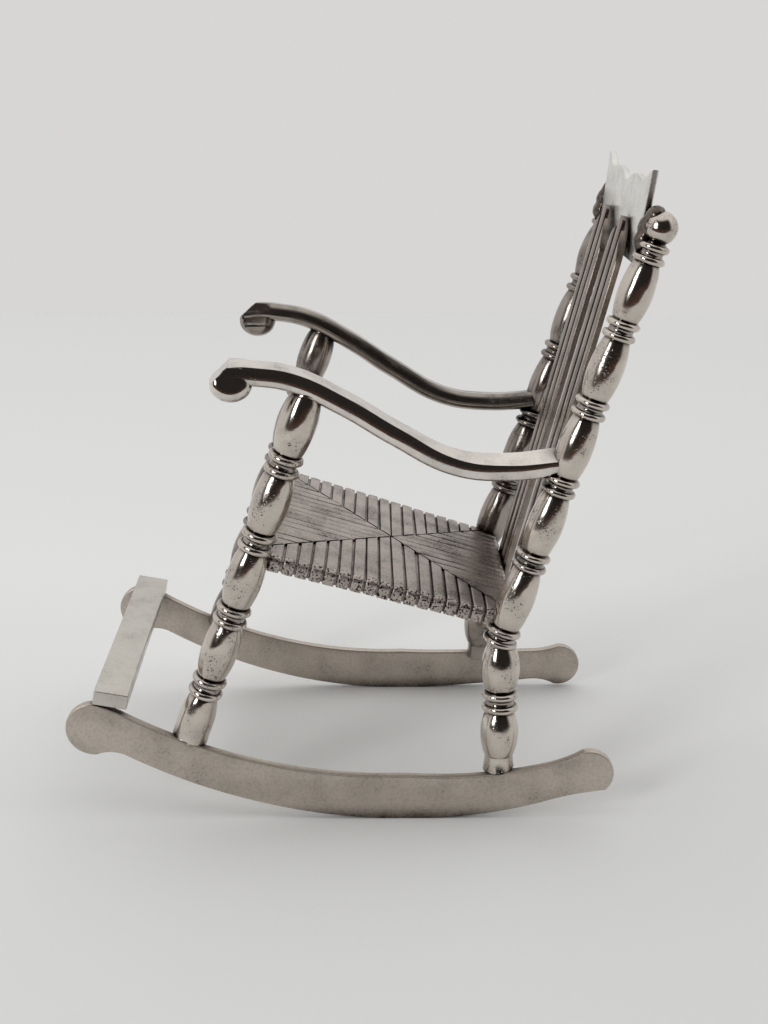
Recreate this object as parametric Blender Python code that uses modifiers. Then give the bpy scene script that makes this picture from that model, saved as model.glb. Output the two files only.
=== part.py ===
"""Miniature silver rocking chair, modelled piece by piece as its maker solders it together.

Two frames carry the pieces. In the stand frame +Y points to the rear, +Z up, and the runners
touch the floor under their arc's centre. The chair frame is the stand frame leant back by
POST_LEAN: in it the posts are upright, so turned pieces, seat, arms and back are drawn there.
The near side of the names is the sitter's: left is +X.
"""

import math

import bmesh
import bpy
from mathutils import Matrix, Vector

MM = 0.001

# Pose and joints
POST_LEAN = math.radians(18.8)
SOLDER_GAP = 0.1 * MM

# Runners, in the stand frame; angles are measured from straight below the arc's centre
RUNNER_ARC_RADIUS = 61.3 * MM
RUNNER_FACET = math.radians(3.7)
RUNNER_REST_FACET = math.radians(5.4)
RUNNER_DEPTH = 5.3 * MM
RUNNER_FRONT_DEPTH = 4.1 * MM
RUNNER_REAR_DEPTH = 3.9 * MM
RUNNER_THICKNESS = 1.05 * MM
RUNNER_OUTER_HALF = 17.3 * MM
FRONT_LOBE_RADIUS = 3.05 * MM
REAR_LOBE_RADIUS = 2.75 * MM
LOBE_SIDES = 18
FRONT_LOBE_ANGLE = math.radians(-34.3)
FRONT_LOBE_INSET = 1.0 * MM
REAR_LOBE_ANGLE = math.radians(19.8)
REAR_LOBE_INSET = 1.6 * MM
LEFT_RUNNER_DROOP = 0.4 * MM
LEFT_RUNNER_LIFT = 0.4 * MM
RIGHT_RUNNER_SAG = 2.0 * MM
SAG_START = math.radians(4.0)
RUNNER_EDGE = 0.15 * MM

# Foot bar, let into the front lobes
FOOT_BAR_WIDTH = 3.75 * MM
FOOT_BAR_THICKNESS = 1.7 * MM
FOOT_BAR_SLOPE = math.radians(10.7)
FOOT_BAR_TURN = math.radians(0.93)
FOOT_BAR_SETBACK = 0.99 * MM
FOOT_BAR_SINK = 0.27 * MM
FOOT_BAR_EDGE = 0.15 * MM

# Turned stock of the posts
STOCK_SIDES = 14
BARREL_RADIUS = 1.97 * MM
NECK_RADIUS = 1.5 * MM
BARREL_FULLNESS = 0.75
BARREL_STATIONS = 5
BEAD_RADIUS = 1.9 * MM
BEAD_GROOVE_RADIUS = 1.58 * MM
BEAD_HEIGHT = 0.88 * MM
BEAD_GROOVE = 0.6 * MM
PAIR_HALF = BEAD_HEIGHT + BEAD_GROOVE / 2
FOOT_RADIUS = 1.75 * MM

# Front posts, in the chair frame
FRONT_POST_Y = -25.5 * MM
RIGHT_FRONT_POST_SET = 0.4 * MM
FRONT_RAKE = math.radians(-0.6)
FRONT_FIRST_BEAD = 7.9 * MM
FRONT_BEAD_PITCH = 8.95 * MM
FRONT_TOP_HALF = 16.6 * MM

# Rear posts, in the chair frame; the foot is placed along the runner in the stand frame
REAR_POST_Y = 3.0 * MM
REAR_HALF = 14.0 * MM
BEND_HEIGHT = 23.0 * MM
REAR_BEAD_PITCH = 8.75 * MM
REAR_BEADS = 6
REAR_LEG_BEAD_DROP = 7.5 * MM
REAR_FOOT_Y = 10.2 * MM
REAR_TAPER = 0.16
REAR_RAKE = math.radians(0.4)
FINIAL_RADIUS = 1.42 * MM
FINIAL_RISE = 2.75 * MM
FINIAL_STATIONS = 6

# Arms; stations run forward from the rear post's axis, heights are above the bend
ARM_WIDTH = 3.0 * MM
ARM_THICKNESS = 2.15 * MM
ARM_SECTION_POINTS = 8
ARM_ROLL = math.radians(6.0)
ARM_REAR_STATION = 1.2 * MM
ARM_REAR_HEIGHT = 21.3 * MM
ARM_ROUTE = (
    (6.5 * MM, -2.2 * MM),
    (11.5 * MM, -3.2 * MM),
    (18.2 * MM, -2.1 * MM),
    (24.5 * MM, -0.6 * MM),
    (30.5 * MM, 0.2 * MM),
    (36.0 * MM, -0.85 * MM),
)
KNOB_RADIUS = 1.9 * MM
KNOB_STRETCH = 1.2
KNOB_STATION = 36.2 * MM
KNOB_DROP = 2.75 * MM
KNOB_SIDES = 20
KNOB_EDGE = 0.3 * MM

# Seat plate and its rush pattern; its rear edge is placed above the bend
SEAT_RISE = 2.6 * MM
SEAT_SLOPE_DROP = 1.2 * MM
SEAT_REAR_HEIGHT = BEND_HEIGHT + SEAT_RISE
SEAT_FRONT_HEIGHT = SEAT_REAR_HEIGHT - SEAT_SLOPE_DROP
SEAT_THICKNESS = 1.7 * MM
SEAT_LIP = 0.9 * MM
SEAT_EDGE = 0.4 * MM
STRAND_PITCH = 1.51 * MM
PATTERN_SHIFT = -1.0 * MM
GROOVE_RADIUS = 0.28 * MM
GROOVE_LIFT = 0.05 * MM
MITRE_MARGIN = 0.55 * MM

# Crest plate; its lower edge hangs below the rear posts' last bead pairs, just before their axes
CREST_LEAN = math.radians(12.0)
CREST_THICKNESS = 0.75 * MM
CREST_DROP = 1.95 * MM
CREST_FORWARD = 1.0 * MM
CREST_HEIGHT = 9.6 * MM
CREST_END_INSET = 1.4 * MM
EAR_END_INSET = 0.5 * MM
CREST_FOOT_Y = REAR_POST_Y - CREST_FORWARD
CREST_HALF = REAR_HALF - CREST_END_INSET
EAR_HALF = REAR_HALF - EAR_END_INSET
EAR_HEIGHT = 3.2 * MM
CREST_NOTCH = 2.2 * MM
CREST_SCALLOP = 0.55 * MM
CREST_SCALLOP_POINTS = 5

# Back slats
SLAT_WIDTH = 7.0 * MM
SLAT_THICKNESS = 0.8 * MM
SLAT_CENTRE = 5.4 * MM
SLAT_LAP = 3.9 * MM
SLAT_ARCH = 3.4 * MM
SLAT_ARCH_POINTS = 12
SLAT_FLUTE_RADIUS = 0.9 * MM
SLAT_FLUTE_DEPTH = 0.35 * MM

# Finish
SILVER = (0.70, 0.68, 0.64, 1.0)
SILVER_ROUGHNESS = 0.32

# Helper blocks reach this far past what they cut
REACH = 12.0 * MM
WELD = 0.001 * MM

# How far a runner's front end and its rear end have sunk
LEVEL = (0.0, 0.0)
SIDES = (("left", 1.0, (LEFT_RUNNER_DROOP, -LEFT_RUNNER_LIFT)), ("right", -1.0, (0.0, RIGHT_RUNNER_SAG)))


def clear_scene():
    """Remove everything the startup file holds."""
    for obj in list(bpy.data.objects):
        bpy.data.objects.remove(obj, do_unlink=True)


def new_collection(name):
    """Add a collection under the scene."""
    collection = bpy.data.collections.new(name)
    bpy.context.scene.collection.children.link(collection)
    return collection


def silver_material(name):
    """One Principled silver for one piece."""
    material = bpy.data.materials.new(name + "_silver")
    material.use_nodes = True
    shader = material.node_tree.nodes["Principled BSDF"]
    shader.inputs["Base Color"].default_value = SILVER
    shader.inputs["Roughness"].default_value = SILVER_ROUGHNESS
    shader.inputs["Metallic"].default_value = 1.0
    return material


def to_chair(y, z):
    """Turn a point of the stand frame into the chair frame."""
    cosine, sine = math.cos(POST_LEAN), math.sin(POST_LEAN)
    return y * cosine - z * sine, y * sine + z * cosine


def polar(centre, radius, angle):
    """Point at an angle from straight below a centre, positive to the rear."""
    return centre[0] + radius * math.sin(angle), centre[1] - radius * math.cos(angle)


class Workshop:
    """Holds the collections and frames, and adds objects to them."""

    def __init__(self):
        self.parts = new_collection("miniature_rocking_chair")
        self.cutters = new_collection("cutters")
        self.stand = self.empty("stand", None)
        self.chair = self.empty("chair_frame", self.stand)
        self.chair.rotation_euler.x = -POST_LEAN

    def empty(self, name, parent):
        """Add a frame."""
        frame = bpy.data.objects.new(name, None)
        frame.parent = parent
        self.parts.objects.link(frame)
        return frame

    def piece(self, name, mesh, frame):
        """Add a named piece with its own material."""
        obj = bpy.data.objects.new(name, mesh)
        obj.parent = frame
        mesh.materials.append(silver_material(name))
        self.parts.objects.link(obj)
        return obj

    def helper(self, name, mesh, frame):
        """Add a cutter, or a lug that a union takes in."""
        obj = bpy.data.objects.new(name, mesh)
        obj.parent = frame
        obj.hide_render = True
        obj.display_type = "WIRE"
        self.cutters.objects.link(obj)
        return obj


def boolean(obj, operand, operation="DIFFERENCE"):
    """Cut an object by a helper, or join the helper to it."""
    modifier = obj.modifiers.new(operation.lower() + "_" + operand.name, "BOOLEAN")
    modifier.operation = operation
    modifier.object = operand
    modifier.solver = "EXACT"


def bevel(obj, width, segments=1):
    """Break the sharp edges of an object."""
    modifier = obj.modifiers.new("broken_edges", "BEVEL")
    modifier.width = width
    modifier.segments = segments
    modifier.limit_method = "ANGLE"
    modifier.angle_limit = math.radians(40.0)


def smooth(mesh):
    """Shade a round piece smooth up to its real edges."""
    mesh.shade_smooth()
    mesh.set_sharp_from_angle(angle=math.radians(40.0))


def mesh_from_curve(curve_data, name):
    """Turn a curve into a welded mesh, and remove the curve."""
    guide = bpy.data.objects.new(name + "_guide", curve_data)
    bpy.context.scene.collection.objects.link(guide)
    bpy.context.view_layer.update()
    graph = bpy.context.evaluated_depsgraph_get()
    mesh = bpy.data.meshes.new_from_object(guide.evaluated_get(graph))
    mesh.name = name
    bpy.data.objects.remove(guide, do_unlink=True)
    edit = bmesh.new()
    edit.from_mesh(mesh)
    bmesh.ops.remove_doubles(edit, verts=edit.verts, dist=WELD)
    bmesh.ops.recalc_face_normals(edit, faces=edit.faces)
    edit.to_mesh(mesh)
    edit.free()
    return mesh


def plate_mesh(name, outline, thickness):
    """Extrude a flat outline to both sides of its plane."""
    data = bpy.data.curves.new(name + "_outline", "CURVE")
    data.dimensions = "2D"
    data.fill_mode = "BOTH"
    data.extrude = thickness / 2
    spline = data.splines.new("POLY")
    spline.points.add(len(outline) - 1)
    for point, (x, y) in zip(spline.points, outline):
        point.co = (x, y, 0.0, 1.0)
    spline.use_cyclic_u = True
    return mesh_from_curve(data, name)


def prism_mesh(name, radius, length, sides, places):
    """Upright prisms of one size, each carried to its place by a matrix."""
    mesh = bpy.data.meshes.new(name)
    edit = bmesh.new()
    for place, factor in places:
        bmesh.ops.create_cone(
            edit, cap_ends=True, segments=sides, radius1=radius, radius2=radius,
            depth=length * factor, matrix=place,
        )
    edit.to_mesh(mesh)
    edit.free()
    return mesh


def block_mesh(name, size):
    """A block centred on its origin."""
    mesh = bpy.data.meshes.new(name)
    edit = bmesh.new()
    bmesh.ops.create_cube(edit, size=1.0, matrix=Matrix.Diagonal((*size, 1.0)))
    edit.to_mesh(mesh)
    edit.free()
    return mesh


def face_block(shop, name, frame, point, normal):
    """A block whose top face passes through a point, square to a normal of the YZ plane."""
    block = shop.helper(name, block_mesh(name, (REACH, REACH, REACH)), frame)
    direction = Vector(normal).normalized()
    block.rotation_euler = direction.to_track_quat("Z", "X").to_euler()
    block.location = Vector(point) - direction * REACH / 2
    return block


def turned_object(obj):
    """Sweep a profile round its Z axis."""
    screw = obj.modifiers.new("lathe", "SCREW")
    screw.axis = "Z"
    screw.steps = STOCK_SIDES
    screw.render_steps = STOCK_SIDES
    screw.use_merge_vertices = True
    screw.merge_threshold = WELD
    screw.use_smooth_shade = True


def profile_mesh(name, profile):
    """A profile of (radius, height), given upwards, as a line that runs down."""
    points = [(radius, 0.0, height) for radius, height in reversed(profile)]
    edges = [(index, index + 1) for index in range(len(points) - 1)]
    mesh = bpy.data.meshes.new(name)
    mesh.from_pydata(points, edges, [])
    return mesh


def bead_pair(centre):
    """Stations of two beads with a wide groove between them."""
    upper = []
    shape = ((0.0, BEAD_GROOVE_RADIUS), (0.25, BEAD_RADIUS), (0.75, BEAD_RADIUS), (1.0, NECK_RADIUS))
    for part, radius in shape:
        upper.append((radius, BEAD_GROOVE / 2 + part * BEAD_HEIGHT))
    lower = [(radius, -height) for radius, height in reversed(upper)]
    return [(radius, centre + height) for radius, height in (*lower, *upper)]


def barrel(low, high):
    """Stations of the barrel between two bead pairs, without its ends."""
    stations = []
    for index in range(1, BARREL_STATIONS + 1):
        part = index / (BARREL_STATIONS + 1)
        swell = math.sin(math.pi * part) ** BARREL_FULLNESS
        stations.append((NECK_RADIUS + (BARREL_RADIUS - NECK_RADIUS) * swell, low + part * (high - low)))
    return stations


def stock_profile(first_bead, pitch, count):
    """Turned stock: barrels and bead pairs in turn, with a barrel at each end."""
    profile = []
    for index in range(count + 1):
        bead = first_bead + index * pitch
        profile += barrel(bead - pitch + PAIR_HALF, bead - PAIR_HALF)
        if index < count:
            profile += bead_pair(bead)
    return profile


def sawn(profile, low, high):
    """Saw a profile off square at two heights and close its ends on the axis."""
    kept = [station for station in profile if low < station[1] < high]

    def radius_at(height):
        for (radius_a, z_a), (radius_b, z_b) in zip(profile, profile[1:]):
            if z_a <= height <= z_b:
                return radius_a + (radius_b - radius_a) * (height - z_a) / max(z_b - z_a, WELD)
        return profile[0][0] if height < profile[0][1] else profile[-1][0]

    return [(0.0, low), (radius_at(low), low), *kept, (radius_at(high), high), (0.0, high)]


def grown(profile, gap):
    """The same profile with room for solder all round."""
    return [(radius + gap if radius > 0.0 else 0.0, height) for radius, height in profile]


def runner_depth(angle):
    """Height of the runner's strip, thinning from its middle to its tips."""
    end, tip = (FRONT_LOBE_ANGLE, RUNNER_FRONT_DEPTH) if angle < 0.0 else (REAR_LOBE_ANGLE, RUNNER_REAR_DEPTH)
    return RUNNER_DEPTH + (tip - RUNNER_DEPTH) * angle / end


def runner_radius(angle, sag):
    """Radius of the lower edge, which flattens towards an end that has sunk."""
    end, drop = (FRONT_LOBE_ANGLE, sag[0]) if angle < 0.0 else (REAR_LOBE_ANGLE, sag[1])
    share = max(0.0, abs(angle) - SAG_START) / (abs(end) - SAG_START)
    return RUNNER_ARC_RADIUS + drop * share**2


def runner_angles():
    """Corners of the runner's lower edge, with one facet flat on the floor at rest."""
    steps = int(abs(FRONT_LOBE_ANGLE) / RUNNER_FACET) + 1
    rear = [RUNNER_REST_FACET / 2 + index * RUNNER_FACET for index in range(steps)]
    front = [-angle for angle in reversed(rear)]
    inner = [angle for angle in (*front, *rear) if FRONT_LOBE_ANGLE < angle < REAR_LOBE_ANGLE]
    return [FRONT_LOBE_ANGLE, *inner, REAR_LOBE_ANGLE]


ARC_CENTRE = (0.0, RUNNER_ARC_RADIUS)


def lobe_centre(angle, inset, sag):
    """Centre of a lobe, set in from the runner's lower edge."""
    return polar(ARC_CENTRE, runner_radius(angle, sag) - inset, angle)


def runner_top(angle, sag):
    """A point of the runner's upper edge, and the way up there."""

    def point(at):
        return Vector(polar(ARC_CENTRE, runner_radius(at, sag) - runner_depth(at), at))

    along = point(angle + RUNNER_FACET / 8) - point(angle - RUNNER_FACET / 8)
    return tuple(point(angle)), (-along.y, along.x)


def lower_edge(angle, sag):
    """A point of the runner's lower edge."""
    return polar(ARC_CENTRE, runner_radius(angle, sag), angle)


def upper_edge(angle, sag):
    """A point of the runner's upper edge."""
    return runner_top(angle, sag)[0]


def leaves_lobe(edge, lobe_angle, centre, radius, sag):
    """The angle at which an edge of the strip comes out of a lobe."""
    inside, outside = lobe_angle, 0.0
    for _ in range(40):
        middle = (inside + outside) / 2
        if math.dist(edge(middle, sag), centre) < radius:
            inside = middle
        else:
            outside = middle
    return outside


def lobe_arc(centre, radius, start, stop):
    """Round a lobe from one point of its rim to another, anticlockwise."""
    first = math.atan2(start[1] - centre[1], start[0] - centre[0])
    last = math.atan2(stop[1] - centre[1], stop[0] - centre[0])
    sweep = (last - first) % (2 * math.pi)
    rim = []
    for index in range(LOBE_SIDES + 1):
        turn = first + sweep * index / LOBE_SIDES
        rim.append((centre[0] + radius * math.cos(turn), centre[1] + radius * math.sin(turn)))
    return rim


def runner_outline(sag):
    """Outline of a runner: its lower edge, the rear lobe, its upper edge and the front lobe."""
    front = lobe_centre(FRONT_LOBE_ANGLE, FRONT_LOBE_INSET, sag)
    rear = lobe_centre(REAR_LOBE_ANGLE, REAR_LOBE_INSET, sag)
    joins, runs = {}, {}
    for edge in (lower_edge, upper_edge):
        start = leaves_lobe(edge, FRONT_LOBE_ANGLE, front, FRONT_LOBE_RADIUS, sag)
        stop = leaves_lobe(edge, REAR_LOBE_ANGLE, rear, REAR_LOBE_RADIUS, sag)
        margin = RUNNER_FACET / 4
        inner = [angle for angle in runner_angles() if start + margin < angle < stop - margin]
        joins[edge] = (edge(start, sag), edge(stop, sag))
        runs[edge] = [edge(angle, sag) for angle in inner]
    rear_rim = lobe_arc(rear, REAR_LOBE_RADIUS, joins[lower_edge][1], joins[upper_edge][1])
    front_rim = lobe_arc(front, FRONT_LOBE_RADIUS, joins[upper_edge][0], joins[lower_edge][0])
    return [*runs[lower_edge], *rear_rim, *reversed(runs[upper_edge]), *front_rim]


def build_runner(shop, side, sign, sag, bar_socket):
    """A flat curved strip with a round lobe at each end, notched for the foot bar."""
    name = "runner_" + side
    runner = shop.piece(name, plate_mesh(name, runner_outline(sag), RUNNER_THICKNESS), shop.stand)
    runner.location.x = sign * (RUNNER_OUTER_HALF - RUNNER_THICKNESS / 2)
    runner.rotation_euler = (math.pi / 2, 0.0, math.pi / 2)
    bevel(runner, RUNNER_EDGE)
    boolean(runner, bar_socket)


def build_foot_bar(shop):
    """A flat bar let into the front lobes, flush with the runners outside. Gives its socket."""
    name = "foot_bar"
    size = Vector((2 * RUNNER_OUTER_HALF, FOOT_BAR_WIDTH, FOOT_BAR_THICKNESS))
    room = Vector((2 * RUNNER_THICKNESS, 2 * SOLDER_GAP, 2 * SOLDER_GAP))
    bar = shop.piece(name, block_mesh(name, size), shop.stand)
    socket = shop.helper(name + "_socket", block_mesh(name + "_socket", size + room), shop.stand)
    lobes = [Vector(lobe_centre(FRONT_LOBE_ANGLE, FRONT_LOBE_INSET, sag)) for _, _, sag in SIDES]
    y, z = (lobes[0] + lobes[1]) / 2
    up = FRONT_LOBE_RADIUS - FOOT_BAR_SINK + FOOT_BAR_THICKNESS / 2
    sine, cosine = math.sin(FOOT_BAR_SLOPE), math.cos(FOOT_BAR_SLOPE)
    for obj in (bar, socket):
        obj.location = (
            0.0, y + up * sine + FOOT_BAR_SETBACK * cosine, z + up * cosine - FOOT_BAR_SETBACK * sine,
        )
        obj.rotation_euler = (-FOOT_BAR_SLOPE, 0.0, FOOT_BAR_TURN)
    bevel(bar, FOOT_BAR_EDGE)
    return socket


def front_foot(sag=LEVEL):
    """Where the front post's axis meets the runner: height and way up, in the chair frame."""
    low, high = FRONT_LOBE_ANGLE, REAR_LOBE_ANGLE
    for _ in range(60):
        middle = (low + high) / 2
        if to_chair(*runner_top(middle, sag)[0])[0] < FRONT_POST_Y:
            low = middle
        else:
            high = middle
    point, normal = runner_top(low, sag)
    return to_chair(*point)[1], to_chair(*normal)


def front_post_across(height):
    """Distance of the front post's axis from the middle, at a height of the chair frame."""
    foot, foot_half = front_foot()[0], RUNNER_OUTER_HALF - FOOT_RADIUS
    top = BEND_HEIGHT + ARM_REAR_HEIGHT - ARM_THICKNESS
    return foot_half + (FRONT_TOP_HALF - foot_half) * (height - foot) / (top - foot)


def build_front_post(shop, side, sign, sag):
    """A length of turned stock between the runner and the arm, splayed to the arm."""
    foot, normal = front_foot(sag)
    profile = stock_profile(FRONT_FIRST_BEAD, FRONT_BEAD_PITCH, 4)
    arm_under, arm_normal = arm_underside(FRONT_POST_Y)
    name = "front_post_" + side
    splay = math.atan(front_post_across(1.0) - front_post_across(0.0))
    pieces = []
    for label, growth, frame_add in ((name, 0.0, shop.piece), (name + "_socket", SOLDER_GAP, shop.helper)):
        line = grown(sawn(profile, foot - FOOT_RADIUS, arm_under + FOOT_RADIUS), growth)
        post = frame_add(label, profile_mesh(label, line), shop.chair)
        foot_y = FRONT_POST_Y + SEAT_FRONT_HEIGHT * math.tan(FRONT_RAKE)
        foot_y += RIGHT_FRONT_POST_SET if sign < 0.0 else 0.0
        post.location = (sign * front_post_across(0.0), foot_y, 0.0)
        post.rotation_euler = (FRONT_RAKE, sign * splay, 0.0)
        turned_object(post)
        pieces.append(post)
    post, socket = pieces
    across = sign * front_post_across(foot)
    seat_point = Vector((across, FRONT_POST_Y, foot)) + Vector((0.0, *normal)).normalized() * SOLDER_GAP
    boolean(post, face_block(shop, name + "_foot_cut", shop.chair, seat_point, (0.0, *normal)))
    arm_point = (sign * FRONT_TOP_HALF, FRONT_POST_Y, arm_under - SOLDER_GAP)
    down = (0.0, -arm_normal[0], -arm_normal[1])
    boolean(post, face_block(shop, name + "_arm_cut", shop.chair, arm_point, down))
    return socket


def rear_foot(sag):
    """The rear foot's place on the runner and the way up there, in the chair frame."""
    angle = math.asin(REAR_FOOT_Y / (RUNNER_ARC_RADIUS - RUNNER_DEPTH))
    point, normal = runner_top(angle, sag)
    return to_chair(*point), to_chair(*normal)


def last_bead():
    """Height of the rear post's last bead pair above the bend."""
    return (REAR_BEADS - 1) * REAR_BEAD_PITCH


def finial():
    """Stations of the ball on top of the rear post, above the bend."""
    centre = last_bead() + FINIAL_RISE
    start = math.radians(-50.0)
    angles = [start + (math.pi / 2 - start) * index / FINIAL_STATIONS for index in range(FINIAL_STATIONS)]
    ball = [(FINIAL_RADIUS * math.cos(angle), centre + FINIAL_RADIUS * math.sin(angle)) for angle in angles]
    return [*ball, (0.0, centre + FINIAL_RADIUS)]


def rear_post_profile():
    """Upper rear post: bead pairs and barrels that thin from the bend to the ball."""
    profile = []
    for index in range(REAR_BEADS):
        bead = index * REAR_BEAD_PITCH
        if index:
            profile += barrel(bead - REAR_BEAD_PITCH + PAIR_HALF, bead - PAIR_HALF)
        profile += bead_pair(bead)
    length = REAR_BEADS * REAR_BEAD_PITCH
    thinned = [(radius * (1.0 - REAR_TAPER * height / length), height) for radius, height in profile]
    return [(0.0, -PAIR_HALF), *thinned, *finial()]


def build_rear_post(shop, side, sign, sag):
    """Turned stock bent at its second bead pair, with a raked and splayed leg below the bend."""
    name = "rear_post_" + side
    profile = rear_post_profile()
    post = shop.piece(name, profile_mesh(name, profile), shop.chair)
    socket_mesh = profile_mesh(name + "_socket", grown(profile, SOLDER_GAP))
    socket = shop.helper(name + "_socket", socket_mesh, shop.chair)
    for obj in (post, socket):
        obj.location = (sign * REAR_HALF, REAR_POST_Y, BEND_HEIGHT)
        obj.rotation_euler.x = REAR_RAKE
        turned_object(obj)
    (foot_y, foot_z), normal = rear_foot(sag)
    bend = Vector((sign * REAR_HALF, REAR_POST_Y, BEND_HEIGHT))
    foot = Vector((sign * (RUNNER_OUTER_HALF - FOOT_RADIUS), foot_y, foot_z))
    length = (bend - foot).length
    stock = stock_profile(length - REAR_LEG_BEAD_DROP, REAR_LEG_BEAD_DROP, 1)
    leg_name = name + "_leg"
    leg_mesh = profile_mesh(leg_name, sawn(stock, -FOOT_RADIUS, length - PAIR_HALF / 4))
    leg = shop.helper(leg_name, leg_mesh, shop.chair)
    leg.location = foot
    leg.rotation_euler = (bend - foot).to_track_quat("Z", "X").to_euler()
    turned_object(leg)
    boolean(post, leg, "UNION")
    seat_point = foot + Vector((0.0, *normal)).normalized() * SOLDER_GAP
    boolean(post, face_block(shop, name + "_foot_cut", shop.chair, seat_point, (0.0, *normal)))
    return socket


def arm_route():
    """Top line of the arm as (station forward of the rear post, height in the chair frame)."""
    rear = BEND_HEIGHT + ARM_REAR_HEIGHT
    return [(ARM_REAR_STATION, rear), *((station, rear + rise) for station, rise in ARM_ROUTE)]


def arm_underside(y):
    """Height of the arm's underside over a point of the seat plan, and its way up there."""
    station = (REAR_POST_Y - y) / math.cos(arm_toe())
    route = arm_route()
    for (station_a, z_a), (station_b, z_b) in zip(route, route[1:]):
        if station_a <= station <= station_b:
            slope = (z_b - z_a) / (station_b - station_a)
            height = z_a + slope * (station - station_a)
            return height - ARM_THICKNESS * math.sqrt(1.0 + slope * slope), (slope, 1.0)
    return route[-1][1] - ARM_THICKNESS, (0.0, 1.0)


def arm_toe():
    """Angle in plan by which the arm opens towards the front."""
    return math.atan2(FRONT_TOP_HALF - REAR_HALF, REAR_POST_Y - FRONT_POST_Y)


def arm_section():
    """Section of the arm: flat on top, round below."""
    data = bpy.data.curves.new("arm_section", "CURVE")
    data.dimensions = "2D"
    spline = data.splines.new("POLY")
    spline.points.add(ARM_SECTION_POINTS - 1)
    for index, point in enumerate(spline.points):
        angle = math.pi * index / (ARM_SECTION_POINTS - 1)
        x = math.cos(angle) * ARM_WIDTH / 2
        y = -ARM_THICKNESS * math.sin(angle) ** 0.6
        point.co = (x, y, 0.0, 1.0)
    spline.use_cyclic_u = True
    section = bpy.data.objects.new("arm_section", data)
    bpy.context.scene.collection.objects.link(section)
    return section


def build_arm(shop, side, sign, post_socket):
    """A flat-topped arm swept along its route, with a round knob, fitted to the rear post."""
    name = "arm_" + side
    data = bpy.data.curves.new(name + "_route", "CURVE")
    data.dimensions = "3D"
    data.twist_mode = "Z_UP"
    data.resolution_u = 4
    section = arm_section()
    data.bevel_mode = "OBJECT"
    data.bevel_object = section
    data.use_fill_caps = True
    spline = data.splines.new("BEZIER")
    route = arm_route()
    spline.bezier_points.add(len(route) - 1)
    for point, (station, height) in zip(spline.bezier_points, route):
        point.co = (0.0, -station, height)
        point.tilt = -sign * ARM_ROLL
        point.handle_left_type = "AUTO"
        point.handle_right_type = "AUTO"
    arm = shop.piece(name, mesh_from_curve(data, name), shop.chair)
    bpy.data.objects.remove(section, do_unlink=True)
    knob_name = name + "_knob"
    place = Matrix.Diagonal((1.0, KNOB_STRETCH, 1.0, 1.0)) @ Matrix.Rotation(math.pi / 2, 4, "Y")
    knob = shop.helper(
        knob_name, prism_mesh(knob_name, KNOB_RADIUS, ARM_WIDTH, KNOB_SIDES, [(place, 1.0)]), shop.chair
    )
    bevel(knob, KNOB_EDGE)
    turn = Matrix.Rotation(sign * arm_toe(), 3, "Z")
    at_post = Vector((sign * REAR_HALF, REAR_POST_Y, 0.0))
    knob_height = BEND_HEIGHT + ARM_REAR_HEIGHT - KNOB_DROP
    for obj, offset in ((arm, Vector()), (knob, Vector((0.0, -KNOB_STATION, knob_height)))):
        obj.location = at_post + turn @ offset
        obj.rotation_euler.z = sign * arm_toe()
    knob.rotation_euler.y = sign * ARM_ROLL
    boolean(arm, knob, "UNION")
    boolean(arm, post_socket)


def seat_plan():
    """Half widths and ends of the seat, in the chair frame."""
    front_half = front_post_across(SEAT_FRONT_HEIGHT)
    return front_half, REAR_HALF, FRONT_POST_Y - SEAT_LIP, REAR_POST_Y + SEAT_LIP


def strand_lines(start, stop, middle):
    """Places of the grooves between strands, counted both ways from the pattern's middle."""
    first = math.ceil((start - middle) / STRAND_PITCH)
    last = math.floor((stop - middle) / STRAND_PITCH)
    return [middle + index * STRAND_PITCH for index in range(first, last + 1)]


def crossing_depth():
    """Distance of the mitres' crossing from the seat's front edge."""
    front_half, rear_half, front, rear = seat_plan()
    return (rear - front) * front_half / (front_half + rear_half)


def groove_places():
    """Matrices of the grooves: along X in the side fields, along Y in the end fields, and down the edges."""
    front_half, rear_half, front, rear = seat_plan()
    depth = rear - front
    crossing = crossing_depth()
    top = SEAT_THICKNESS / 2 + GROOVE_LIFT
    along_x = Matrix.Rotation(math.pi / 2, 4, "Y")
    along_y = Matrix.Rotation(math.pi / 2, 4, "X")
    sides, ends, edges = [], [], []

    def run(start, stop):
        return (start + stop) / 2, (stop - start) / REACH

    for y in strand_lines(MITRE_MARGIN, depth - MITRE_MARGIN, crossing):
        edge = front_half + (rear_half - front_half) * y / depth
        if y < crossing:
            mitre = front_half * (1.0 - y / crossing)
        else:
            mitre = rear_half * (y - crossing) / (depth - crossing)
        for sign in (1.0, -1.0):
            start = sign * mitre + PATTERN_SHIFT
            if sign * (sign * edge - start) < 2 * MITRE_MARGIN:
                continue
            middle, factor = run(start + sign * MITRE_MARGIN, sign * (edge + MITRE_MARGIN))
            sides.append((Matrix.Translation((middle, y - depth / 2, top)) @ along_x, abs(factor)))
            edges.append((Matrix.Translation((sign * (edge + GROOVE_LIFT), y - depth / 2, 0.0)), 1.0))
    for half, edge, sign in ((front_half, 0.0, -1.0), (rear_half, depth, 1.0)):
        for offset in strand_lines(MITRE_MARGIN - half, half - MITRE_MARGIN, PATTERN_SHIFT):
            mitre = crossing + (edge - crossing) * abs(offset - PATTERN_SHIFT) / half
            if sign * (edge - mitre) < 2 * MITRE_MARGIN:
                continue
            middle, factor = run(mitre + sign * MITRE_MARGIN, edge + sign * MITRE_MARGIN)
            ends.append((Matrix.Translation((offset, middle - depth / 2, top)) @ along_y, abs(factor)))
            edges.append((Matrix.Translation((offset, edge + sign * GROOVE_LIFT - depth / 2, 0.0)), 1.0))
    return {"side_grooves": sides, "end_grooves": ends, "edge_grooves": edges}


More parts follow.
